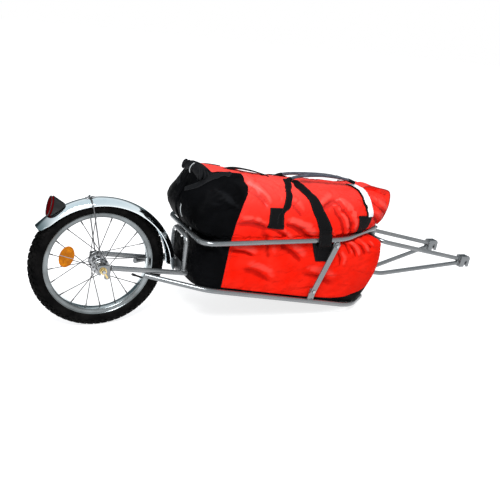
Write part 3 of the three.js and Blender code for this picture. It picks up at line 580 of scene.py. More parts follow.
def ring_mesh(shape, count, paint, start, scatter, seed):
    """One piece, modelled about the wheel's axis, repeated round it and set in its place."""
    pattern = placed("pattern", plain_mesh(*shape))
    made = grown(ring_rule, {"Piece": pattern, "Count": count, "Start": start * degree,
                             "Scatter": scatter * degree, "Seed": seed, "Finish": paint})
    bpy.data.objects.remove(pattern)
    made.transform(Matrix.Translation(Vector(wheel_place)))
    made.transform(Matrix.Scale(0.001, 4))
    return made


def joined(meshes):
    """One mesh out of several."""
    whole = bmesh.new()
    for mesh in meshes:
        whole.from_mesh(mesh)
    made = bpy.data.meshes.new("joined")
    whole.to_mesh(made)
    whole.free()
    return made


def rubber_look(here):
    """Black rubber with dust in patches."""
    dust = span(clouds(here, 26.0, 5.0, 0.65), 0.42, 0.72)
    fine = clouds(here, 700.0, 3.0)
    return {
        "Base Color": mix(dust, (0.0012, 0.0012, 0.0013), (0.0085, 0.008, 0.0078)),
        "Roughness": span(fine, 0.2, 0.8, 0.42, 0.58) + dust * 0.14,
        "Normal": bumpy(fine, 0.00015, 0.6),
    }


rubber = finish("tyre_rubber", rubber_look, Specular_IOR_Level=0.03)
section_place = 179.5
section_radius = 23.5
inside_radius, block_foot = 20.2, 20.4
bead_angle = math.asin(12.6 / section_radius)


def tyre_section(angle):
    """Radius of the carcass round its section: lower under the tread, fuller at the sidewall."""
    leans = [0, 58, 66, 76, 100, 118, 180]
    return np.interp(abs(angle) / degree, leans, [20.9, 20.9, 21.2, 22.4, 23.3, 23.5, 23.5])


def on_section(angle, radius):
    """A point of the tyre's section as a radius from the wheel's axis and Y."""
    return section_place + radius * math.cos(angle), radius * math.sin(angle)


edge = math.pi - bead_angle
tyre_outside = [on_section(a, tyre_section(a)) for a in np.linspace(-edge, edge, 52)]
inner_edge = edge * 0.985
tyre_inside = [on_section(a, inside_radius) for a in np.linspace(inner_edge, -inner_edge, 30)]
points, faces = swung(tyre_outside + tyre_inside, 180)
carcass = plain_mesh(wheel_seat(points), faces)


def tread_block(turn, lean, long, wide, high, rake):
    """A tread block at an angle round the wheel and a lean round the section, all in degrees."""
    points = []
    for height, shrink in ((block_foot, 1.0), (high, 0.86)):
        for a, b in ((-1, -1), (1, -1), (1, 1), (-1, 1)):
            r, y = on_section((lean + b * wide * shrink / 2) * degree, height)
            around = (turn + (a * long * shrink + b * rake) / 2) * degree
            points.append((r * math.cos(around), y, r * math.sin(around)))
    sides_of = [(0, 1, 5, 4), (1, 2, 6, 5), (2, 3, 7, 6), (3, 0, 4, 7)]
    return points, [(3, 2, 1, 0), (4, 5, 6, 7)] + sides_of


pitches = 58
blocks = gathered(tread_block(turn * 360 / pitches, *block) for turn, *block in (
    (0.00, 0, 2.9, 17, 23.7, 0.5), (0.50, 22, 2.9, 17, 23.8, 0.6), (0.50, -22, 2.9, 17, 23.8, -0.6),
    (0.05, 43, 2.8, 17, 24.0, -0.4), (0.05, -43, 2.8, 17, 24.0, 0.4),
    (0.52, 66, 3.3, 21, 24.6, 0.2), (0.52, -66, 3.3, 21, 24.6, -0.2),
))
tread = ring_mesh(blocks, pitches, rubber, 0, 0.12, 4)
dressed("tyre_knobbly", joined([carcass, tread]), rubber, "wheel", ["tyre"], crease=32)
inner_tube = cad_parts["inner_tube"]
inner_tube.data.materials.clear()
inner_tube.data.materials.append(rubber)


# Rim, valve cap and hub.
# A chromed steel rim rolled from strip, a ribbed plastic cap on the valve, and a steel hub with its
# ball races.
def rim_look(here):
    """Brushed plating, with painted shade on its side walls, which are darker than its well."""
    brushed = clouds(stretched(here, (60, 900, 60)), 1.0, 4.0)
    haze = span(clouds(here, 18.0, 4.0), 0.35, 0.7)
    across = here.sum("ABSOLUTE", here.node("SeparateXYZ", {"Vector": here}, "Y"), 0)
    # Painted shade: the side walls take a darker plating colour than the well.
    wall = span(across, 0.0105, 0.0125)
    wall_painted_shade_colour = mix(haze, (0.13, 0.142, 0.145), (0.24, 0.265, 0.275))
    return {
        "Base Color": mix(wall, (0.60, 0.66, 0.68), wall_painted_shade_colour),
        "Roughness": span(brushed, 0.2, 0.8, 0.12, 0.26),
        "Normal": bumpy(brushed, 0.00006, 0.5),
    }


rim_steel = finish("rim_plate", rim_look, Metallic=1.0)
rim_half = [(147.3, 0), (147.3, 9.0), (147.9, 11.2), (149.6, 13.2), (152.4, 14.4), (156, 14.7),
            (159.2, 14.9), (160.8, 15.9), (161.9, 17.1), (162.8, 17.5), (163.2, 16.9),
            (162.6, 16.1), (161.2, 15.4), (159.9, 13.6), (159.0, 13.0), (151.2, 13.0),
            (149.6, 11.8), (149.0, 9.0), (149.0, 0)]
rim_profile = rim_half + [(r, -y) for r, y in rim_half[-2:0:-1]]
rim_points, rim_faces = swung(rim_profile, 192)
piece("rim_rolled", wheel_seat(rim_points), rim_faces, rim_steel, "wheel", ["rim"],
      "chrome", 50, True)


def plastic_look(here):
    """Fine-grained black plastic, a little worn."""
    grain = clouds(here, 1400.0, 2.0)
    worn = span(clouds(here, 40.0, 5.0), 0.5, 0.8)
    return {
        "Base Color": mix(worn, (0.004, 0.004, 0.0045), (0.012, 0.012, 0.0125)),
        "Roughness": span(grain, 0.2, 0.8, 0.36, 0.52),
        "Normal": bumpy(grain, 0.00008, 0.5),
    }


plastic = finish("black_plastic", plastic_look, Specular_IOR_Level=0.3)
valve_way = Vector((math.cos(-24.2 * degree), 0, math.sin(-24.2 * degree)))
valve_tip = 126.3
valve_side = Vector((0, 1, 0))
valve_up = valve_way.cross(valve_side)
rib_count, rib_deep, cap_radius = 32, 0.35, 4.2
cap_rings = ((0.3, 0.9), (1.2, 1.0), (9, 1.0), (12.2, 0.86), (13.3, 0.5))
cap_points = []
for below, narrow in cap_rings:
    for k, angle in enumerate(all_round(rib_count)):
        out = valve_side * math.cos(angle) + valve_up * math.sin(angle)
        radius = (cap_radius - rib_deep * (k % 2)) * narrow
        cap_points.append(valve_way * (valve_tip - below) + radius * out)
cap_faces = quads(len(cap_rings), rib_count) + end_faces(len(cap_rings), rib_count)
piece("valve_cap_ribbed", wheel_seat(cap_points), cap_faces, plastic, "wheel", ["valve_cap"],
      "black_plastic", 50, True)

hub_right = [(6.5, -29), (13.8, -29), (13.8, -37.4), (14.6, -38), (17.2, -38), (18, -37.2),
             (18, -29.4), (19.2, -28.5), (25.2, -28.5), (26, -27.7), (26, -26.3), (25.2, -25.5),
             (17, -25.5), (14.4, -24.2), (13, -21)]
hub_profile = hub_right + [(12.6, 0)] + [(r, -y) for r, y in hub_right[::-1]]
hub_points, hub_faces = swung(hub_profile, 72)
piece("hub_shell_turned", wheel_seat(hub_points), hub_faces, zinc, "wheel", ["hub_shell"],
      "steel", 35, True)
for node in ("ball_ring_right", "ball_ring_left"):
    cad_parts[node].data.materials.clear()
    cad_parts[node].data.materials.append(zinc)


# Spokes.
# Twenty plain steel spokes, each with its bent head in the hub's flange and a nipple at the rim;
# those of one side cross two others. The ring rule repeats one spoke of each lean.
def patchy_look(low, high, patch, rough, grain, relief):
    """A look that drifts between two colours and two roughnesses over a fine grain."""
    def look(here):
        patches = clouds(here, *patch)
        return {
            "Base Color": mix(patches, low, high),
            "Roughness": span(patches, 0.2, 0.8, *rough),
            "Normal": bumpy(clouds(here, *grain), relief, 0.5),
        }
    return look


spoke_look = patchy_look((0.030, 0.031, 0.033), (0.085, 0.088, 0.09),
                         (70.0, 4.0), (0.28, 0.44), (900.0, 2.0), 0.00004)
spoke_wire = finish("spoke_wire", spoke_look, Metallic=1.0)


flange_circle, flange_place = 22, 24.1
nipple_circle, nipple_place = 146.3, 3.6


def spoke(side, swing):
    """One spoke about the wheel's axis, with its rim end at angle 0."""
    foot_angle = swing * degree
    foot = Vector((flange_circle * math.cos(foot_angle), side * flange_place,
                   flange_circle * math.sin(foot_angle)))
    tip_at = Vector((nipple_circle, side * nipple_place, 0))
    way = (tip_at - foot).normalized()
    head = foot + Vector((0, side * 5.4, 0))
    wire = [head, foot + Vector((0, side * 1.6, 0)), foot + way * 0.6 + Vector((0, side * 0.3, 0)),
            foot + way * 3, tip_at - way * 6]
    return gathered(carried(oval(radius, radius, count), line) for line, radius, count in (
        (wire, 1.25, 10),
        ([head, head + Vector((0, side * 0.9, 0))], 2.1, 12),
        ([tip_at - way * 12, tip_at - way * 11.4, tip_at + way * 1.5], 2.0, 8),
    ))


for name, side, phase in (("right", -1, 2.8), ("left", 1, 20.8)):
    leans = [ring_mesh(spoke(side, swing), 5, spoke_wire, phase + shift, 0.25, seed)
             for swing, shift, seed in ((72, 0, 3), (-72, 36, 5))]
    dressed(f"spokes_laced_{name}", joined(leans), spoke_wire, "wheel", [f"spokes_{name}"],
            50)


# Wheel reflector.
# An oval amber reflector clipped to the right side's spokes: a clear moulded face over small
# prisms, with a rim round it and a plated bar along its middle.
def prism_look(shallow, deep):
    """Small square prisms, some cells painted brighter as painted glints, under broad patches of
    painted shade.
    """
    def look(here):
        cells, facets = (
            here.node("TexVoronoi", {"Vector": here, "Scale": 420.0, "Randomness": 0.0}, give)
            for give in ("Color", "Distance")
        )
        # Painted glints and painted shade: brighter cells and darker broad patches in the lens
        # colour.
        glint = cells.node("SeparateColor", {"Color": cells}, "Red")
        shade = span(clouds(here, 34.0, 2.0), 0.38, 0.62, 0.25, 1.0)
        return {
            "Base Color": mix((span(glint, 0.1, 0.9) * 0.6 + facets * 0.4) * shade, deep, shallow),
            "Roughness": span(facets, 0, 0.7, 0.22, 0.4),
            "Normal": bumpy(facets, 0.0006, 0.35),
        }
    return look


amber = finish("amber_lens", prism_look((0.74, 0.24, 0.003), (0.34, 0.095, 0.001)),
               Specular_IOR_Level=0.1, Coat_Weight=0.06, Coat_Roughness=0.2)
reflector_place, reflector_angle = 100, 161.5
reflector_tall, reflector_wide = 33, 21


face_count = 72
face_rings = ((0.90, 0.2), (1.0, 0.9), (1.0, 3.6), (0.965, 4.4), (0.925, 4.4), (0.91, 3.7),
              (0.7, 4.0), (0.45, 4.2), (0.2, 4.25))
face_points = [(x, out, z) for grow, out in face_rings
               for x, z in oval(grow * reflector_wide, grow * reflector_tall, face_count)]
face_quads = quads(len(face_rings), face_count) + end_faces(len(face_rings), face_count)
block_faces = [(0, 1, 3, 2), (4, 6, 7, 5), (0, 4, 5, 1), (2, 3, 7, 6), (0, 2, 6, 4), (1, 5, 7, 3)]
clips = []
for foot in (-13, 13):
    block = [(x, y, z) for x in (-3, 3) for y in (-1.6, 0.8) for z in (foot - 3, foot + 3)]
    clips.append((block, block_faces))
bar_line = [Vector((x, 4.5 - 0.9 * abs(x / 20.4) ** 6, 0)) for x in np.linspace(-20.6, 20.6, 25)]
lo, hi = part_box("wheel_reflector")
reflector_out = -min(abs(lo[1]), abs(hi[1])) * 1000
reflector_lean = math.atan((abs(hi[1] - lo[1]) * 1000 - 4.5) / 42)
turn = (
    Matrix.Rotation(-reflector_angle * degree, 4, "Y") @ Matrix.Translation((reflector_place, 0, 0))
    @ Matrix.Rotation(reflector_lean, 4, "Z") @ Matrix.Rotation(math.pi, 4, "Z")
)
for name, shape, paint, stands_for in (
    ("oval", gathered([(face_points, face_quads)] + clips), amber, ["wheel_reflector"]),
    ("bar", carried(oval(1, 1, 10), bar_line), zinc, ()),
):
    turned = [turn @ Vector(p) + Vector((0, reflector_out - 2.4, 0)) for p in shape[0]]
    piece(f"wheel_reflector_{name}", wheel_seat(turned), shape[1], paint, "wheel", stands_for,
          "amber_lens", 30, True)


# Axle and its fittings.
# A turned steel axle, threaded at both ends; from the hub out come a cone, the mudguard stay's
# eye, a zinc plated lock nut, the dropout plate, a tabbed washer and the domed axle nut.
def gold_look(here):
    """Yellow zinc plating with a greenish bloom."""
    patches = clouds(here, 160.0, 3.0)
    bloom = clouds(here, 45.0, 2.0)
    gold = mix(patches, (0.55, 0.36, 0.11), (0.72, 0.52, 0.20))
    return {
        "Base Color": mix(bloom, gold, (0.62, 0.55, 0.30)),
        "Roughness": span(patches, 0.2, 0.8, 0.26, 0.42),
        "Normal": bumpy(clouds(here, 1300.0, 2.0), 0.00004, 0.5),
    }


dark_look = patchy_look((0.085, 0.088, 0.092), (0.17, 0.175, 0.18),
                        (90.0, 4.0), (0.32, 0.5), (1100.0, 2.0), 0.00005)
dark_steel = finish("dark_steel", dark_look, Metallic=1.0)
zinc_gold = finish("zinc_gold", gold_look, Metallic=1.0)
axle_half = 80
thread_turns, thread_step = 13, 1.25
thread = []
for k in range(thread_turns):
    ridge = k * thread_step - (axle_half - 0.8)
    thread += [(4.95, ridge), (4.55, ridge + 0.42), (4.95, ridge + 0.84)]
half_axle = [(0.01, -axle_half), (4.4, -axle_half)] + thread + [(4.95, -46), (4.9, 0)]
axle_profile = half_axle + [(r, -y) for r, y in half_axle[-2::-1]]
axle_points, axle_faces = swung(axle_profile, 32)
piece("axle_threaded", axle_points, axle_faces, zinc, "frame", ["axle"], "steel", 50)
for name, _ in sides:
    softened(f"axle_cone_{name}", dark_steel, "frame", 0.3)
    softened(f"lock_nut_{name}", zinc_gold, "frame", 0.6)
    softened(f"dropout_{name}", lacquer, "frame", 0.7)
    softened(f"tab_washer_{name}", zinc_gold, "frame", 0.4)
    softened(f"axle_nut_{name}", zinc_gold, "frame", 0.8)
blade_end = 24.6
for name, side in sides:
    bead(f"dropout_weld_{name}", (blade_end, side * blade_half, blade_height(blade_end)),
         (-1, 0, math.tan(blade_slope)), tube_radius, 1.6)


# Mudguard.
# A crowned strip of chromed steel with both edges rolled over a wire, bent to the wheel and
# flattened a little at its tail. A plate and two bolts hold it to the rear hoop.
def chrome_look(here):
    """Bright plating with a faint haze, and a painted dark reflection towards the strip's tail."""
    waves = clouds(here, 22.0, 2.0)
    haze = span(clouds(here, 60.0, 5.0, 0.7), 0.5, 0.8)
    plate = mix(haze, (0.84, 0.91, 0.94), (0.74, 0.82, 0.86))
    # Painted reflection: the plating darkens to a dark teal towards the strip's tail.
    tail_painted_reflection = span(here.node("SeparateXYZ", {"Vector": here}, "X") * -1, 0.735, 0.792, smooth=True)
    return {
        "Base Color": mix(tail_painted_reflection * 0.9, plate, (0.06, 0.11, 0.12)),
        "Roughness": 0.05 + haze * 0.10,
        "Normal": bumpy(waves, 0.0004, 0.25),
    }


chrome = finish("chrome_plate", chrome_look, Metallic=1.0)
guard_centre = Vector((3, 0, -33))
guard_radius = 240
guard_crown = 34
guard_sheet = 1.2
guard_half, corner_cut = 30, 5
tail_run, corner_run = 9, 2.2
guard_first, guard_last = 3, 141
curl_radius = 1.7
crown_points = 29


def guard_profile(crown, half):
    """The strip's section as distance from the crown and Y, with a rolled edge on each side."""
    widest = math.asin(half / crown)
    over, under = (
        [(radius * math.cos(t) - crown, radius * math.sin(t))
         for t in np.linspace(-end, end, crown_points)]
        for radius, end in ((crown, widest), (crown - guard_sheet, -widest))
    )
    curls = []
    for side in (1, -1):
        normal = np.array([math.cos(widest), side * math.sin(widest)])
        along = np.array([-math.sin(widest), side * math.cos(widest)])
        middle = np.array(over[-1 if side > 0 else 0]) - normal * curl_radius
        curl = [middle + curl_radius * (normal * math.cos(a) + along * math.sin(a))
                for a in np.radians([40, 80, 120, 160, 200, 240])]
        curls.append([tuple(p) for p in (curl if side > 0 else curl[::-1])])
    return over + curls[0] + under + curls[1]


guard_points, rings = [], 110
for angle in np.linspace(guard_first, guard_last, rings):
    flatter = (1 - min(guard_last - angle, tail_run) / tail_run) ** 2
    from_end = min(min(guard_last - angle, angle - guard_first) / corner_run, 1)
    half = guard_half - corner_cut * (1 - math.sqrt(1 - (1 - from_end) ** 2))
    for drop, y in guard_profile(guard_crown + 16 * flatter, half):
        r = guard_radius + drop + 1.5 * flatter
        guard_points.append((guard_centre.x + r * math.cos(angle * degree), y,
                             guard_centre.z + r * math.sin(angle * degree)))
loop = len(guard_points) // rings
guard_faces = quads(rings, loop)
under_end = 2 * crown_points + 5
for base in (0, (rings - 1) * loop):
    guard_faces += [(base + k, base + k + 1, base + under_end - 1 - k, base + under_end - k)
                    for k in range(crown_points - 1)]
    for first in (crown_points - 1, under_end):
        guard_faces.append(tuple(base + k % loop for k in range(first, first + 8)))
piece("mudguard_rolled", guard_points, guard_faces, chrome, "frame", ["mudguard"], "chrome", 50)
softened("mudguard_bridge", dark_steel, "frame", 0.5)
softened("mudguard_bolt_upper", zinc, "frame", 0.4)
softened("mudguard_bolt_lower", zinc, "frame", 0.4)


# Mudguard stay.
# One steel wire, bent over the crown under a riveted clip, with a flattened eye on the axle at
# each end.
stay_place, stay_half, stay_height = -36, 38, 206.1
stay_line = rounded([(0, -44.8, 7.2), (stay_place, -stay_half, stay_height),
                     (stay_place, stay_half, stay_height), (0, 44.8, 7.2)], [36, 36])
eye_half = [(5.3, 43.1), (5.6, 42.8), (8.6, 42.8), (9.0, 43.2),
            (9.0, 46.4), (8.6, 46.8), (5.6, 46.8), (5.3, 46.5)]
eyes = [swung([(r, side * y) for r, y in eye_half], 40) for side in (-1, 1)]
piece("mudguard_stay_wire", *gathered([carried(oval(2, 2, 14), stay_line)] + eyes), dark_steel,
      "frame", ["mudguard_stay"], "steel", 60)
clip_lean = math.atan2(stay_height - guard_centre.z, stay_place - guard_centre.x)
clip_up = Vector((math.cos(clip_lean), 0, math.sin(clip_lean)))
clip_along = Vector((math.sin(clip_lean), 0, -math.cos(clip_lean)))
stay_top = (Vector((stay_place, 0, stay_height)) - guard_centre).length
clip_outline = ((-8.6, 0), (-9, 0.5), (-9, 1.1), (-8.6, 1.6),
                (8.6, 1.6), (9, 1.1), (9, 0.5), (8.6, 0))
clip_steps, clip_half, rivet_place = 27, 13, 8.6
clip_points = []
for t in np.linspace(-clip_half, clip_half, clip_steps):
    hump = math.exp(-((t / 3.4) ** 2))
    rise = guard_radius + 0.3 - t * t / (2 * guard_radius) + hump * (stay_top + 2.1 - guard_radius)
    for y, z in clip_outline:
        dip = y * y / (2 * guard_crown) * (1 - hump)
        at = guard_centre + clip_up * (rise + z - dip) + clip_along * t
        clip_points.append((at.x, y, at.z))
clip_faces = quads(clip_steps, len(clip_outline)) + end_faces(clip_steps, len(clip_outline))
clip_shapes = [(clip_points, clip_faces)]
for t in (-rivet_place, rivet_place):
    at = guard_centre + clip_along * t
    for low, high, wide in ((0.0, 2.6, 3.2), (2.6, 3.3, 2.0)):
        rivet = [at + clip_up * (guard_radius + rise) for rise in (low, high)]
        clip_shapes.append(carried(oval(wide, wide, 14), rivet))
piece("stay_clip_pressed", *gathered(clip_shapes), zinc, "frame", ["stay_clip"], "steel", 40)


# Tail reflector.
# A round red reflector of moulded prisms, in a black housing whose foot is shaped to the mudguard.
red_lens = finish("red_lens", prism_look((0.25, 0.003, 0.006), (0.07, 0.001, 0.002)),
                  Specular_IOR_Level=0.0)
softened("tail_reflector_lens", red_lens, "frame", 1.2)
softened("tail_reflector_housing", plastic, "frame", 1.0)
tail_turn = -12.7 * degree
tail_way = Vector((math.cos(tail_turn), 0, math.sin(tail_turn)))
tail_side = Vector((-math.sin(tail_turn), 0, math.cos(tail_turn)))
tail_middle = Vector((-148, 0, 177))
rim_line = [tail_middle - tail_way * 0.6 + tail_side * x + Vector((0, y, 0))
            for x, y in oval(28.6, 28.6, 72)]
pipe("tail_reflector_rim", rim_line, 1.6, plastic, "frame", (), "black_plastic", True, 10)


# Yoke.
# The fork that reaches the bicycle: a pivot tube on the kingpin, one wide tube bent to a U above,
# two cranked arms below, and a channel on each side that drops over the bicycle's axle.
pivot_place = 1008
hitch_place, hitch_half, hitch_height = 1388.8, 90, 9.2
upper_place, upper_level, arm_level = 985.7, 87, -66
arm_lean, arm_shift = 24 * degree, 2.4
softened("yoke_pivot_tube", lacquer, "yoke", 0.6)
upper_half = [(hitch_place, hitch_half, hitch_height), (upper_place, hitch_half, upper_level)]
upper_run = [(x, -y, z) for x, y, z in upper_half] + upper_half[::-1]
tube("yoke_upper_bent", rounded(upper_run, [40, 40]), "yoke_upper_tube", "yoke")
for name, side in sides:
    run = [(pivot_place + math.cos(arm_lean) * a - math.sin(arm_lean) * arm_shift,
            side * (math.sin(arm_lean) * a + math.cos(arm_lean) * arm_shift), arm_level)
           for a in (14.3, 69.3)]
    arm_end = (hitch_place, side * hitch_half, -hitch_height)
    tube(f"yoke_arm_bent_{name}", rounded(run + [arm_end], [80]), f"yoke_arm_{name}", "yoke")
    softened(f"hitch_channel_{name}", lacquer, "yoke", 0.8)
    softened(f"hitch_pin_{name}", zinc, f"pin_{name}", 0.6)
    away = Vector(run[1]) - Vector(run[0])
    arm_foot = Vector(run[0]) + away.normalized() * 0.4
    bead(f"arm_weld_{name}", arm_foot, away, tube_radius, 1.8, "yoke")
    for end, z, from_z in (("upper", hitch_height, upper_level),
                           ("lower", -hitch_height, arm_level)):
        at = (hitch_place + 0.8, side * hitch_half, z)
        bead(f"channel_weld_{end}_{name}", at, (403, 0, z - from_z), tube_radius, 1.7, "yoke")
for name in ("upper_lug", "lower_lug"):
    softened(name, lacquer, "frame", 0.7)
for name in ("kingpin", "kingpin_nut"):
    softened(name, zinc, "frame", 0.7)


# Bag.
# A long bag of coated fabric, red with a black rear part and a black underside. It is lofted
# through the same layers as its solid, closed along a crown, and creased where straps and seams
# pull at it.
bag_rear = 262
bag_length = 668
bag_half = 149.4
bag_floor = lower_height(bag_rear)
bag_height = 320
bag_layers = np.array([
    [0.045, 0.01, 0.01, 0.01, 0.76, 0.90, 0.94, -0.025, -0.205, -0.335],
    [0.012, 0.95, 0.78, 0.66, 0.79, 0.955, 0.99, -0.020, -0.200, -0.328],
    [0.004, 1.40, 0.96, 0.80, 0.82, 0.985, 1.00, 0.000, -0.190, -0.308],
    [0.002, 1.50, 0.98, 0.78, 0.84, 1.015, 0.995, 0.060, -0.130, -0.235],
    [0.010, 1.50, 0.99, 0.86, 0.87, 1.065, 0.99, 0.170, 0.030, -0.010],
    [0.015, 1.50, 0.99, 0.88, 0.88, 1.085, 0.995, 0.290, 0.190, 0.165],
    [0.020, 1.45, 0.99, 0.86, 0.88, 1.085, 0.99, 0.375, 0.330, 0.312],
    [0.024, 1.35, 0.99, 0.80, 0.84, 1.070, 0.985, 0.410, 0.395, 0.410],
    [0.027, 1.20, 0.99, 0.45, 0.66, 0.96, 0.985, 0.450, 0.465, 0.475],
    [0.028, 0.90, 0.98, 0.50, 0.70, 0.97, 1.00, 0.490, 0.495, 0.503],
    [-0.030, 0.78, 0.99, 0.62, 0.78, 1.03, 1.045, 0.545, 0.535, 0.550],
    [-0.064, 0.90, 0.96, 0.66, 0.82, 1.07, 1.10, 0.720, 0.690, 0.715],
    [-0.012, 0.70, 0.80, 0.56, 0.80, 1.05, 1.10, 0.945, 0.860, 0.850],
    [0.010, 0.42, 0.52, 0.40, 0.78, 1.00, 1.06, 1.065, 0.945, 0.915],
    [0.030, 0.20, 0.26, 0.20, 0.76, 0.95, 1.00, 1.105, 0.982, 0.960],
    [0.045, 0.01, 0.012, 0.01, 0.74, 0.92, 0.97, 1.115, 0.992, 0.974],
])
bag_levels = 150
bag_around = 460


def eased(table, count):
    """A smooth run of rows through the rows of a table."""
    at = np.linspace(0, len(table) - 1, count)
    i = np.clip(at.astype(int), 0, len(table) - 2)
    t = (at - i)[:, None]
    a, b, c, d = (table[np.clip(i + k, 0, len(table) - 1)] for k in (-1, 0, 1, 2))
    return b + 0.5 * t * (c - a + t * (2 * a - 5 * b + 4 * c - d + t * (3 * (b - c) + d - a)))


def bag_ring(row):
    """One layer's outline as points at equal steps, from the middle of the rear and round."""
    rear, rear_wide, wide, corner_wide, shoulder, corner, front = row[:7]
    side = [(rear, rear_wide / 2), (rear + 0.04, wide), (rear + 0.12, wide),
            (shoulder - 0.1, wide), (shoulder, wide), (corner, corner_wide),
            (front, corner_wide / 2)]
    ring = np.array([(rear, 0)] + [(x, -y) for x, y in side] + [(front, 0)] + side[::-1])
    for _ in range(3):
        after = np.roll(ring, -1, 0)
        cut = [ring * 0.75 + after * 0.25, ring * 0.25 + after * 0.75]
        ring = np.stack(cut, 1).reshape(-1, 2)
    ring = np.concatenate([[(rear, 0)], ring, [(rear, 0)]]) * (bag_length, bag_half)
    ring = ring[np.concatenate([[True], np.abs(np.diff(ring, axis=0)).sum(1) > 1e-6])]
    along = np.concatenate([[0], np.cumsum(np.linalg.norm(np.diff(ring, axis=0), axis=1))])
    at = np.linspace(0, along[-1], bag_around, endpoint=False)
    x, y = (np.interp(at, along, ring[:, k]) for k in (0, 1))
    low, middle, high = row[7:]
    t = 2 * x / bag_length - 1
    rise = middle + t * (high - low) / 2 + t * t * ((low + high) / 2 - middle)
    return np.stack([bag_rear + x, y, bag_floor + rise * bag_height], -1)


bag_grid = np.array([bag_ring(row) for row in eased(bag_layers, bag_levels)])


def grid_normals(grid):
    """Outward directions on a grid of rings."""
    around = np.roll(grid, -1, 1) - np.roll(grid, 1, 1)
    upward = np.gradient(grid, axis=0)
    normal = np.cross(around, upward)
    return normal / np.maximum(np.linalg.norm(normal, axis=-1, keepdims=True), 1e-9)


def field(grid, sizes, shift, octaves=2):
    """Smooth noise at every point of the grid, about -1 to 1."""
    scaled = grid / sizes + shift
    return np.array([
        [noise.fractal(Vector(p), 0.9, 2.0, octaves) for p in row] for row in scaled.tolist()
    ])


# The seam between black and red, as its place along the bag at each height, and the line where the
# red of the crown reaches back over the black.
seam_heights = [-120, -42, 120, 178, 227, 267, 296, 330]
seam_places = [340, 347, 360, 371, 390, 413, 415, 418]
bag_x, bag_y, bag_z = np.moveaxis(bag_grid, -1, 0)
past_seam = bag_x - np.interp(bag_z, seam_heights, seam_places)
crown_half = np.interp(bag_x, [262, 300, 345, 415], [20, 62, 46, 34])
over_crown = np.where((bag_z > 255) & (bag_x > 298), crown_half - np.abs(bag_y), -90)
edge_places = [262, 361, 526, 643, 768, 831, 893, 960]
red_edge = np.interp(bag_x, edge_places, [-25, -37, -64, -82, -97, -97, -86, -62])
in_red = np.minimum(np.maximum(past_seam, over_crown), (bag_z - red_edge) * 0.8)

# Creases as their two ends along and up the bag's side, their half width and their depth.
creases = [
    (412, 290, 474, 229, 9, 5.0), (413, 266, 466, 232, 7, 3.5), (448, 268, 474, 230, 5, 3.0),
    (383, 169, 452, 166, 10, 3.0), (450, 167, 553, 126, 9, 3.5), (367, 90, 446, 67, 9, 3.5),
    (470, 150, 500, 60, 12, 2.0), (683, 217, 735, 242, 9, 4.0), (735, 242, 757, 210, 6, 3.5),
    (748, 240, 806, 142, 8, 5.0), (778, 224, 808, 156, 6, 3.5), (722, 224, 774, 137, 8, 3.5),
    (700, 150, 730, 120, 6, 2.0), (763, 68, 785, 24, 7, 3.0), (800, 100, 842, 54, 7, 4.0),
    (830, 112, 880, 60, 7, 4.0), (862, 118, 904, 78, 6, 3.5), (780, 110, 808, 60, 6, 3.0),
    (538, 169, 648, 124, 12, 4.0), (542, 103, 618, 42, 14, 3.0), (560, 230, 600, 200, 9, 2.5),
    (420, 20, 520, -20, 14, 2.5), (640, 0, 760, -40, 16, 2.5), (300, 240, 372, 205, 8, 3.5),
    (285, 205, 350, 212, 10, 2.5), (290, 262, 340, 232, 7, 3.0), (270, 100, 330, 70, 10, 2.5),
    (880, 200, 950, 150, 9, 3.0), (900, 235, 975, 190, 9, 2.5),
]


def crease_depth(x, z, lines, jitter):
    """How deep creases press at places along and up a side, each with a fuller fold beside it."""
    depth = np.zeros_like(x)
    for x1, z1, x2, z2, wide, deep in lines:
        run = np.array([x2 - x1, z2 - z1], float)
        long = np.linalg.norm(run)
        run /= long
        along = ((x - x1) * run[0] + (z - z1) * run[1]) / long
        across = (x - x1) * -run[1] + (z - z1) * run[0] + jitter
        bow = across - 4 * np.sin(np.pi * np.clip(along, 0, 1))
        fade = np.clip(np.minimum(along + 0.25, 1.25 - along) / 0.45, 0, 1)
        fade = fade * fade * (3 - 2 * fade)
        depth += fade * deep * (0.75 * np.exp(-(((bow - 1.6 * wide) / (1.3 * wide)) ** 2))
                                - np.exp(-((bow / (0.7 * wide)) ** 2)))
    return depth


# The cloth's relief in millimetres: creases, broad swells, wrinkles of two sizes, and the ridge and
# groove of the seam. It is flattened under the patches and held between two limits.
normals = grid_normals(bag_grid)
wander = field(bag_grid, (70, 70, 50), (3, 1, 7))
on_side = np.clip(np.abs(normals[..., 1]) * 1.6, 0, 1)
right = crease_depth(bag_x, bag_z, creases, 6 * wander)
left = crease_depth(bag_x + 24 * np.sin(bag_z / 40), bag_z - 9, creases, 8 * wander)
depth = 2.6 * np.where(bag_y < 0, right, left) * on_side
broad = field(bag_grid, (150, 150, 95), (11, 5, 2))
wrinkle = field(bag_grid, (58, 58, 36), (0, 9, 4))
fine_wrinkle = field(bag_grid, (26, 26, 17), (6, 2, 8))
upper = np.clip((bag_z - 115) / 60, 0, 1)
pulled = np.clip(1.15 - np.abs(bag_z - 118) / 60, 0.25, 1)
depth += 3.0 * broad * (0.4 + 0.6 * upper)
depth -= 5.4 * np.exp(-((wrinkle / 0.11) ** 2)) * (0.35 + 0.65 * upper) * np.clip(0.5 + broad, 0, 1)
depth -= 2.0 * np.exp(-((fine_wrinkle / 0.13) ** 2)) * pulled
depth += 1.0 * np.clip(normals[..., 2], 0, 1) * broad
seam_ridge = 1.4 * np.exp(-((past_seam + 3) / 2.4) ** 2) * (bag_z < 300)
depth += seam_ridge - 1.0 * np.exp(-((past_seam - 2.5) / 2.0) ** 2)
for x, z, wide, tall in ((508, 186, 38, 42), (697, 74, 54, 44), (862, 152, 44, 56)):
    depth *= 1 - 0.85 * np.exp(-(((bag_x - x) / wide) ** 4 + ((bag_z - z) / tall) ** 4)) * on_side
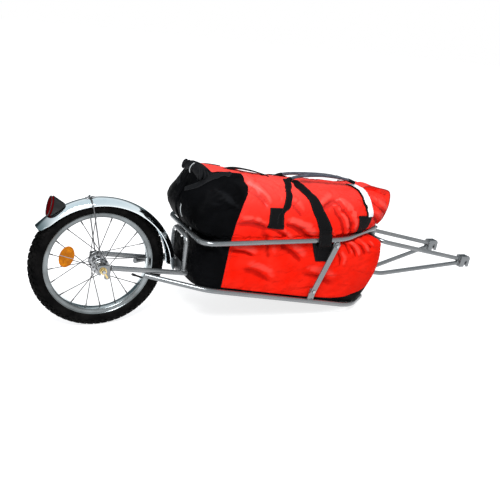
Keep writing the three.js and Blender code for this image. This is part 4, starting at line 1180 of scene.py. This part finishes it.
depth = np.where(depth > 0, 7.5 * np.tanh(depth / 7.5), 13 * np.tanh(depth / 13))
bag_grid = bag_grid + normals * depth[..., None]
# fold runs from 0 in the deepest creases to 1 on the crests; fabric_look paints shade and
# highlights from it.
fold = np.clip(0.5 + depth / 14, 0, 1)

# The cloth stays between the rails, in front of the hoop and clear of the loops' tubes.
inside_rails = np.where(bag_grid[..., 2] < 142, bag_half - 0.2, 162)
bag_grid[..., 1] = np.clip(bag_grid[..., 1], -inside_rails, inside_rails)
under_hoop = (bag_grid[..., 2] < 122) & (bag_grid[..., 0] < 264)
bag_grid[..., 0] = np.where(under_hoop, 264, bag_grid[..., 0])


def pressed_clear(grid, line, gap):
    """Presses cloth back to a gap from a tube's line, where it would pass through the tube."""
    flat = grid.reshape(-1, 3).copy()
    line = np.array([tuple(p) for p in line])
    for a, b in zip(line[:-1], line[1:]):
        run = b - a
        share = np.clip((flat - a) @ run / (run @ run), 0, 1)
        off = flat - (a + share[:, None] * run)
        far = np.linalg.norm(off, axis=1)
        near = far < gap
        flat[near] += off[near] * ((gap - far[near]) / np.maximum(far[near], 0.1))[:, None]
    return flat.reshape(grid.shape)


for line in (upper_line + upper_line[:1], lower_line):
    bag_grid = pressed_clear(bag_grid, line, tube_radius + 0.8)


def fabric_look(here):
    """Coated cloth, red or black by the bag's own layer, with painted shade in creases, painted
    highlights on crests and towards the top, and duller where dirty.
    """
    share = here.node("Attribute", give="Fac", attribute_name="in_red")
    red = span(share, -0.35, 0.35, smooth=True)
    patches = clouds(here, 14.0, 4.0)
    grime = span(clouds(here, 5.0, 6.0, 0.65), 0.52, 0.75)
    reds = mix(span(patches, 0.3, 0.7), (0.90, 0.011, 0.003), (0.97, 0.022, 0.010))
    reds = mix(grime * 0.25, reds, (0.62, 0.02, 0.012))
    relief = here.node("Attribute", give="Fac", attribute_name="fold")
    # Painted shade: the reds darken in the creases.
    reds = mix(span(relief, 0.42, 0.10, smooth=True) * 0.9, reds, (0.46, 0.006, 0.003))
    # Painted highlight: the reds turn pinker on the crests of the folds.
    reds = mix(span(relief, 0.58, 0.90, smooth=True) * 0.7, reds, (0.98, 0.090, 0.068))
    tall = here.node("SeparateXYZ", {"Vector": here}, "Z")
    # Painted highlight: the reds turn pinker towards the top of the bag.
    reds = mix(span(tall, 0.36, 0.49, smooth=True) * 0.55, reds, (0.98, 0.085, 0.066))
    blacks = mix(span(patches, 0.3, 0.7), (0.0014, 0.0015, 0.0017), (0.0034, 0.0036, 0.0042))
    # Painted highlight: the blacks turn paler on the crests of the folds.
    blacks = mix(span(relief, 0.55, 0.95, smooth=True) * 0.45, blacks, (0.014, 0.015, 0.017))
    warp, weft = (
        here.sum("SINE", here.node("SeparateXYZ", {"Vector": here}, axis) * (math.pi / 0.0009), 0)
        for axis in ("X", "Z")
    )
    weave = warp * weft
    rough = span(patches, 0.2, 0.8, 0.44, 0.56) + grime * 0.08
    ridges = here.sum("ABSOLUTE", clouds(stretched(here, (5, 9, 12)), 1.3, 2.5, 0.45) - 0.5, 0)
    height = weave * 0.00005 + clouds(here, 260.0, 3.0) * 0.0002
    height = height + span(ridges, 0, 0.10, 1, 0, True) * 0.0028
    black_shine = span(clouds(here, 9.0, 3.0), 0.5, 0.72, 0.0, 0.16)
    shine = red * span(tall, 0.30, 0.46, 0.0, 0.7) + (1 - red) * black_shine
    return {
        "Base Color": mix(red, blacks, reds),
        "Coat Weight": shine,
        "Roughness": rough - 0.04 * red,
        "Normal": bumpy(height, 1.0, 0.6),
    }


bag_fabric = finish("bag_fabric", fabric_look, Specular_IOR_Level=0.01, Coat_Roughness=0.46)

ring_faces = quads(bag_levels, bag_around)
for base in (0, (bag_levels - 1) * bag_around):
    ring_faces += [
        (base + i, base + i + 1, base + bag_around - i - 1, base + (bag_around - i) % bag_around)
        for i in range(1, bag_around // 2 - 1)
    ]
    ring_faces += [(base, base + 1, base + bag_around - 1)]
bag = piece("bag_shell", bag_grid.reshape(-1, 3), ring_faces, bag_fabric, "frame", ["cargo_bag"],
            "bag_fabric", crease=120)
for label, values in (("in_red", in_red), ("fold", fold)):
    layer = bag.data.attributes.new(label, "FLOAT", "POINT")
    layer.data.foreach_set("value", values.reshape(-1).astype(np.float32))
bag_skin = BVHTree.FromPolygons([tuple(p) for p in bag_grid.reshape(-1, 3).tolist()], ring_faces)


# Roll closure and collar.
# The bag's mouth at the rear: the black fabric is rolled up on itself across the bag, its end
# folded under, and a stitched collar lies below it.
def onto_bag(x, y, z, out=0.0):
    """The place on the bag's skin nearest to a point, lifted outwards, and the normal there."""
    place, normal, *_ = bag_skin.find_nearest(Vector((x, y, z)))
    centre = Vector((min(max(place.x, 330), 880), 0, min(max(place.z, 20), 190)))
    if normal.dot(place - centre) < 0:
        normal = -normal
    return place + normal * out, normal


def smooth_run(points, count):
    """Equally spaced places on a smooth line through points."""
    table = np.array([tuple(p) for p in points], float)
    line = eased(table, 24 * len(table))
    along = np.concatenate([[0], np.cumsum(np.linalg.norm(np.diff(line, axis=0), axis=1))])
    at = np.linspace(0, along[-1], count)
    return np.stack([np.interp(at, along, line[:, k]) for k in range(line.shape[1])], -1)


band_tops = {}


def trim(name, points, faces, paint, crease):
    """A sewn piece of the bag that only the scene has."""
    return piece(name, points, faces, paint, "frame", (), "bag_fabric", crease)


def laid_band(name, left, right, paint, thick, out, count, across=7, bow=0.25, hold=None):
    """A flat band on the bag between two edge lines, following its skin, with square selvedges."""
    left, right = smooth_run(left, count), smooth_run(right, count)
    top, low = [], []
    for a, b in zip(left, right):
        for k in range(across):
            t = k / (across - 1)
            at = a + (b - a) * t
            place, normal = onto_bag(*at)
            rise = out + bow * math.sin(math.pi * t)
            if hold is not None:
                place, normal = hold(Vector(at), place, normal)
            top.append(place + normal * (rise + thick * (0.75 if k in (0, across - 1) else 1)))
            low.append(place + normal * (rise - 0.6))
    top, low = (np.array([tuple(p) for p in side]).reshape(count, across, 3) for side in (top, low))
    for side in (top, low):
        for _ in range(3):
            side[1:-1] = side[1:-1] / 2 + (side[:-2] + side[2:]) / 4
    band_tops[name] = top
    points = np.concatenate([top.reshape(-1, 3), low.reshape(-1, 3)])
    size_of = count * across
    faces = []
    for i in range(count - 1):
        for k in range(across - 1):
            a = i * across + k
            faces.append((a, a + 1, a + across + 1, a + across))
            b = size_of + a
            faces.append((b, b + across, b + across + 1, b + 1))
        for a, b in ((i * across, (i + 1) * across), ((i + 2) * across - 1, (i + 1) * across - 1)):
            faces.append((a, b, size_of + b, size_of + a))
    for base in (0, (count - 1) * across):
        for k in range(across - 1):
            faces.append((base + k, size_of + base + k, size_of + base + k + 1, base + k + 1))
    return trim(name, points, faces, paint, 50)


def cloth_look(dark, light, worn):
    """Plain woven cloth between two colours, rubbed to a third one in places."""
    def look(here):
        patches = clouds(here, 30.0, 4.0)
        axes = [here.node("SeparateXYZ", {"Vector": here}, axis) for axis in ("X", "Y", "Z")]
        threads = [here.sum("SINE", axis * (math.pi / 0.0008), 0) for axis in axes]
        weave = threads[0] + threads[1] * threads[2]
        rub = span(clouds(here, 12.0, 5.0, 0.65), 0.55, 0.8)
        return {
            "Base Color": mix(rub * 0.4, mix(patches, dark, light), worn),
            "Roughness": span(patches, 0.2, 0.8, 0.62, 0.76),
            "Normal": bumpy(weave * 0.5 + clouds(here, 500.0, 3.0), 0.00025, 0.6),
        }
    return look


webbing_look = cloth_look((0.0022, 0.0022, 0.0024), (0.0055, 0.0055, 0.0062), (0.014, 0.014, 0.016))
webbing = finish("black_webbing", webbing_look, Specular_IOR_Level=0.06)
black_look = cloth_look((0.0018, 0.0020, 0.0026), (0.0045, 0.0049, 0.0062), (0.014, 0.015, 0.018))
black_cloth = finish("black_cloth", black_look, Specular_IOR_Level=0.12)


def mirrored(points, side):
    """Places given for the right side, or their mirror image for the left."""
    return [(x, -side * y, z) for x, y, z in points]


collar_edge = [(240, -20, 250), (250, -48, 266), (266, -66, 279),
               (299, -69, 292), (346, -50, 299), (375, -38, 298)]
collar_foot = [(x + 5 - 6 * (x > 290), y - 15, z - 15) for x, y, z in collar_edge]
for name, side in sides:
    laid_band(f"mouth_collar_{name}", mirrored(collar_edge, side), mirrored(collar_foot, side),
              black_cloth, thick=1.6, out=0.9, count=80, across=9, bow=0.8)


def strips(rows, count):
    """Faces between neighbouring rows of points on an open sheet."""
    return [(i * count + k, i * count + k + 1, (i + 1) * count + k + 1, (i + 1) * count + k)
            for i in range(rows - 1) for k in range(count - 1)]


def settled(mesh):
    """Carries a mesh made in millimetres to its place."""
    places = np.array([tuple(v.co) for v in mesh.vertices])
    mesh.vertices.foreach_set("co", seat(places).reshape(-1).astype(np.float32))
    return mesh


def thickened(points, faces, thick):
    """A sheet of cloth with a thickness, in its place."""
    carrier = placed("carrier", plain_mesh(points, faces))
    wall = carrier.modifiers.new("cloth", "SOLIDIFY")
    wall.thickness, wall.offset = thick, 0.0
    evaluated = carrier.evaluated_get(bpy.context.evaluated_depsgraph_get())
    mesh = bpy.data.meshes.new_from_object(evaluated)
    carrier.modifiers.clear()
    bpy.data.objects.remove(carrier)
    return settled(mesh)


roll_half, roll_place, roll_height = 62, 287, 297
roll_radius, roll_turns, turn_gap = 25.2, 5, 3.5
roll_points = []
roll_steps, roll_sides = 46, 190
for i in range(roll_steps + 1):
    y = -roll_half + 2 * roll_half * i / roll_steps
    sag = 5 * (abs(y) / roll_half) ** 2
    for k in range(roll_sides):
        t = k / (roll_sides - 1)
        angle = (-150 + 360 * roll_turns * t) * degree
        pinch = 1 + 0.05 * noise.noise(Vector((y / 40, 3 * math.cos(angle), 3 * math.sin(angle))))
        radius = (roll_radius - turn_gap * t * roll_turns) * pinch
        radius += 0.5 * noise.noise(Vector((y / 14, 2 * math.cos(angle), 2 * math.sin(angle))))
        x = roll_place + radius * 1.02 * math.cos(angle)
        z = roll_height - sag + radius * 0.94 * math.sin(angle)
        roll_points.append((x, y, z))
rolled = thickened(roll_points, strips(roll_steps + 1, roll_sides), 1.6)
dressed("rolled_mouth", rolled, black_cloth, "frame", (), 60)


# Pleats at the roll's ends.
# Beside the roll the black fabric is gathered into soft pleats that run down to the collar.
pleat_steps, pleat_count = 26, 18
for name, side in sides:
    for k in range(5):
        top = (270 + 9 * k, -54, 314 - 2.5 * k)
        middle = (268 + 11 * k, -72, 303 - 3.2 * k)
        foot = (264 + 13 * k, -76 - (k == 2), 286 + 1.2 * k)
        run = smooth_run(mirrored([top, middle, foot], side), pleat_steps)
        points, faces = carried(oval(5.4, 9.5, pleat_count), run)
        swollen = []
        for i, p in enumerate(points):
            step = i // pleat_count
            narrow = 0.55 * abs(2 * step / (pleat_steps - 1) - 1) ** 3
            swollen.append(p + (Vector(run[step]) - p) * narrow)
        trim(f"pleat_{k + 1}_{name}", swollen, faces, black_cloth, 80)


# Reflective tapes.
# A short strip of silver tape stands on the black rear, and another is laid over the roll.
def beaded_look(light, dull, scale, worn, rough):
    """Glass beads under a clear face, worn duller in places."""
    def look(here):
        beads = here.node("TexVoronoi", {"Vector": here, "Scale": scale}, "Distance")
        return {
            "Base Color": mix(span(clouds(here, worn[0], 4.0), *worn[1:]), light, dull),
            "Roughness": span(beads, 0, 0.6, *rough),
            "Normal": bumpy(beads, 0.0001, 0.4),
        }
    return look


tape_look = beaded_look((0.60, 0.63, 0.64), (0.38, 0.40, 0.41), 1200.0,
                        (40.0, 0.4, 0.8), (0.3, 0.5))
tape = finish("reflective_tape", tape_look, Metallic=0.3)
tape_edges = [[(x, y, z) for x, z in ((214, 206), (212, 180), (213, 154))] for y in (-56, -52.6)]
laid_band("reflective_tape_rear", *tape_edges, tape, thick=0.6, out=0.6, count=24, across=4)
wrap = [(roll_place + 26.4 * math.cos(a * degree), 6, roll_height + 24.4 * math.sin(a * degree))
        for a in range(118, 206, 4)]
tape_section = [(-1.5, -1.2), (1.5, -1.2), (1.5, 0.7), (-1.5, 0.7)]
trim("reflective_tape_roll", *carried(tape_section, wrap), tape, 50)


# Patches and carrying straps.
# Black webbing is sewn to doubled patches on each side of the bag; from the patches the straps run
# up to the handles. The forward leg is white reflective webbing with a dark edge.
white_look = beaded_look((0.93, 0.94, 0.95), (0.84, 0.85, 0.86), 900.0,
                         (25.0, 0.5, 0.85), (0.35, 0.5))
white_webbing = finish("white_webbing", white_look, Sheen_Weight=0.1)


def past_rail(wanted, place, normal):
    """Holds webbing outside the upper rail where it passes over it."""
    low, high = 92, 146
    if low < wanted.z < high:
        side = -1 if wanted.y < 0 else 1
        swell = min(1, 1.9 * math.sin(math.pi * (wanted.z - low) / (high - low)))
        reach = abs(place.y) + (167.0 - abs(place.y)) * swell
        straight = Vector((wanted.x - 14 * swell, side * reach, wanted.z + 4 * swell))
        return place.lerp(straight, min(1, 2 * swell)), normal.lerp(Vector((0, side, 0)), swell)
    return place, normal


patch_rear = (
    [(484, -130, 219), (480, -144, 188), (476, -146, 161)],
    [(531, -130, 218), (533, -144, 188), (534, -146, 155)],
)
leg_rear = (
    [(568, -35, 276), (551, -91, 261), (539, -121, 243), (528, -131, 219), (510, -139, 196),
     (505, -144, 166)],
    [(592, -35, 275), (576, -91, 261), (564, -121, 243), (554, -131, 219), (533, -139, 203),
     (529, -144, 168)],
)
strap_middle = (
    [(590, -38, 276), (603, -87, 260), (626, -117, 243), (641, -134, 208), (663, -145, 165),
     (676, -148, 125), (676, -149, 90), (676, -148, 46)],
    [(624, -33, 276), (641, -76, 264), (666, -114, 243), (687, -135, 206), (714, -145, 165),
     (725, -148, 125), (728, -149, 90), (728, -148, 46)],
)
patch_middle = (
    [(652, -149, 108), (662, -149, 78), (676, -148, 44)],
    [(742, -149, 103), (750, -149, 84), (729, -148, 42)],
)
patch_front = (
    [(825, -137, 197), (832, -120, 150), (842, -90, 112)],
    [(894, -122, 192), (880, -104, 150), (870, -82, 109)],
)
front_line = [(843, -28, 290), (860, -44, 282), (873, -64, 266), (869, -98, 244), (873, -114, 219),
              (879, -124, 190)]
leg_front, leg_front_edge = (
    [[(x + shift, y, z) for x, y, z in front_line] for shift in shifts]
    for shifts in ((-11, 18), (-16, -10))
)
bands = (
    ("patch_rear", patch_rear, webbing, 1.6, 1.4, 40, 16),
    ("leg_rear", leg_rear, webbing, 1.6, 2.0, 60),
    ("strap_middle", strap_middle, webbing, 1.8, 1.7, 110, 9, 0.25, past_rail),
    ("patch_middle", patch_middle, webbing, 1.6, 1.4, 30, 18),
    ("patch_front", patch_front, webbing, 1.6, 1.4, 30, 14),
    ("leg_front", leg_front, white_webbing, 1.6, 3.4, 56),
    ("leg_front_edge", leg_front_edge, webbing, 2.0, 3.4, 56, 4),
)
for name, side in sides:
    for label, edges, *measures in bands:
        laid_band(f"{label}_{name}", *(mirrored(edge, side) for edge in edges), *measures)


# Handles.
# Thick webbing folded round a soft core, standing in a free arch above the crown on each side; each
# end is sewn to the straps.
def handle_look(here):
    """Dark webbing with paler streaks along it as painted highlights."""
    patches = clouds(here, 60.0, 3.0)
    run = clouds(stretched(here, (40, 700, 500)), 1.0, 3.0)
    # Painted highlight: paler streaks along the handle.
    shade = span(run, 0.52, 0.66)
    navy = mix(patches, (0.006, 0.008, 0.020), (0.016, 0.020, 0.036))
    return {
        "Base Color": mix(shade * 0.8, navy, (0.13, 0.145, 0.19)),
        "Roughness": span(patches, 0.2, 0.8, 0.55, 0.7),
        "Normal": bumpy(clouds(here, 420.0, 3.0), 0.0003, 0.6),
    }


handle_cloth = finish("handle_cloth", handle_look, Sheen_Weight=0.3)
near_arch = [(575, -34, 277), (596, -37, 290), (632, -39, 301), (708, -40, 306),
             (775, -40, 302), (822, -39, 295), (851, -38, 286)]
far_arch = [(575, 34, 279), (596, 33, 287), (632, 26, 294), (708, 18, 298),
            (775, 22, 295), (822, 30, 288), (851, 36, 281)]
for name, corners in (("right", near_arch), ("left", far_arch)):
    arch = smooth_run(corners, 80)
    trim(f"handle_{name}", *carried(oval(7.5, 5.0, 20), arch), handle_cloth, 60)
    for end, at, way in (("rear", 0, 1), ("front", -1, -1)):
        line = [arch[at + way * k] for k in range(9)]
        trim(f"handle_cuff_{end}_{name}", *carried(oval(8.6, 6.0, 20), line), webbing, 60)


# Folded corners.
# The front end is folded flat and stitched; its corners stand out as thin ears of doubled fabric
# with a darker bound edge.
ear_look = patchy_look((0.80, 0.018, 0.008), (0.92, 0.034, 0.017),
                       (20.0, 4.0), (0.42, 0.54), (90.0, 4.0), 0.0012)
ear_fabric = finish("doubled_fabric", ear_look, Specular_IOR_Level=0.12)
edge_look = cloth_look((0.30, 0.010, 0.006), (0.42, 0.016, 0.010), (0.3, 0.02, 0.01))
edge_fabric = finish("bound_edge", edge_look)
ear_line = [(904, -57, 281), (945, -59, 275), (985, -60, 268), (999, -61, 258), (1004, -62, 235),
            (1003, -62, 205), (990, -62, 165), (972, -60, 142)]
ear_steps, ear_rows = 70, 9
for name, side in sides:
    root, _ = onto_bag(882, 54 * side, 283)
    first = (root.x, root.y, root.z + 10 * (side > 0))
    ear_rim = smooth_run([first] + mirrored(ear_line, side), ear_steps)
    if side > 0:
        ear_rim[:, 2] -= 16 * np.clip((ear_rim[:, 2] - 200) / 60, 0, 1)
    ear_points = []
    for i, at in enumerate(ear_rim):
        place, normal = onto_bag(*at)
        root = place - normal * 5
        for t in np.linspace(0, 1, ear_rows):
            spot = root.lerp(Vector(at), t)
            sway = 1.6 * math.sin(i / 5) * t * (1 - t) * 2
            ear_points.append((spot.x, spot.y + sway, spot.z))
    doubled = thickened(ear_points, strips(ear_steps, ear_rows), 2.2)
    dressed(f"ear_{name}", doubled, ear_fabric, "frame", (), 60)
    pipe(f"ear_edge_{name}", ear_rim, 1.9, edge_fabric, "frame", (), "bag_fabric", False, 10)


# Crown strap.
# A black strap sewn along the crown at its rear, arching a little off the cloth.
strap_line = [(352, 0, 300), (372, 0, 305), (411, 0, 310),
              (465, 0, 304), (510, 0, 294), (549, 0, 284)]
strap_section = [(-12, -1), (12, -1), (12.4, 0), (12, 1), (-12, 1), (-12.4, 0)]
trim("crown_strap", *carried(strap_section, smooth_run(strap_line, 40)), webbing, 50)


# Stitches.
# Rows of thread along the seam between black and red, the edges of the webbing and round the
# patches. A rule sets one small stitch after another along each line.
def stitches_along(start, given):
    line = start.node("GeometryNodeObjectInfo", {"Object": given["Line"]}, "Geometry")
    curve = line.node("GeometryNodeMeshToCurve", {"Mesh": line})
    curve = curve.node(
        "GeometryNodeResampleCurve", {"Curve": curve, "Length": given["Spacing"]}, mode="LENGTH"
    )
    stitch = start.node("GeometryNodeMeshIcoSphere", {"Radius": 0.5, "Subdivisions": 1}, "Mesh")
    tangent = start.node("GeometryNodeInputTangent")
    scatter = start.node(
        "FunctionNodeRandomValue",
        {"Min": (-0.08, -0.08, -0.08), "Max": (0.08, 0.08, 0.08), "Seed": given["Seed"]},
        "Value", data_type="FLOAT_VECTOR",
    )
    way = start.node("VectorMath", {"Vector": tangent, "Vector_001": scatter}, operation="ADD")
    turn = start.node("FunctionNodeAlignRotationToVector", {"Vector": way}, axis="X")
    thick = given["Thickness"]
    size = start.node("CombineXYZ", {"X": given["Length"], "Y": thick, "Z": thick})
    return start.node(
        "GeometryNodeInstanceOnPoints",
        {"Points": curve, "Instance": stitch, "Rotation": turn, "Scale": size},
    )


stitch_rule = rule(
    "stitches_along",
    {"Line": "Object", "Spacing": "Float", "Length": "Float", "Thickness": "Float", "Seed": "Int",
     "Finish": "Material"},
    stitches_along,
)


thread_look = patchy_look((0.012, 0.012, 0.013), (0.03, 0.03, 0.032),
                          (300.0, 2.0), (0.55, 0.7), (2500.0, 2.0), 0.0001)
black_thread = finish("black_thread", thread_look)


def stitched(name, lines, thread, spacing, long, thick, seed):
    """Stitches along lines given in millimetres of the chassis frame."""
    points, edges = [], []
    for line in lines:
        edges += [(len(points) + k, len(points) + k + 1) for k in range(len(line) - 1)]
        points += [tuple(p) for p in np.asarray(line, float).tolist()]
    mesh = bpy.data.meshes.new("lines")
    mesh.from_pydata(points, edges, [])
    carrier = placed("lines", mesh)
    made = grown(stitch_rule, {"Line": carrier, "Spacing": spacing, "Length": long,
                               "Thickness": thick, "Seed": seed, "Finish": thread})
    bpy.data.objects.remove(carrier)
    return dressed(name, settled(made), thread, "frame", (), 80)


def seam_run(side, shift, levels):
    """A line on the bag beside the seam between black and red."""
    line = []
    for z in levels:
        x = float(np.interp(z, seam_heights, seam_places)) + shift
        y = side * (170 - max(z - 200, 0) * 1.2)
        line.append(onto_bag(x, y, z, 0.35)[0])
    return line


seam_lines = [seam_run(side, shift, range(-100, 262, 6))
              for side in (-1, 1) for shift in (3.5, 7.5)]
stitched("seam_stitches", seam_lines, black_thread, 4.2, 2.8, 0.8, 2)
edge_lines = []
for band, top in band_tops.items():
    if band.startswith(("leg_rear", "strap_middle", "leg_front_edge", "mouth_collar")):
        edge_lines += [top[1:-1, end] * 0.2 + top[1:-1, inside] * 0.8
                       for end, inside in ((0, 1), (-1, -2))]
    if band.startswith("patch"):
        loop = np.concatenate([top[1:-1, 1], top[-2, 1:-1], top[-2:0:-1, -2], top[1, -2:0:-1]])
        crossed = [np.array([top[1, 1], top[-2, -2]]), np.array([top[-2, 1], top[1, -2]])]
        edge_lines += [loop] + crossed
stitched("webbing_stitches", edge_lines, black_thread, 3.6, 2.4, 0.7, 3)
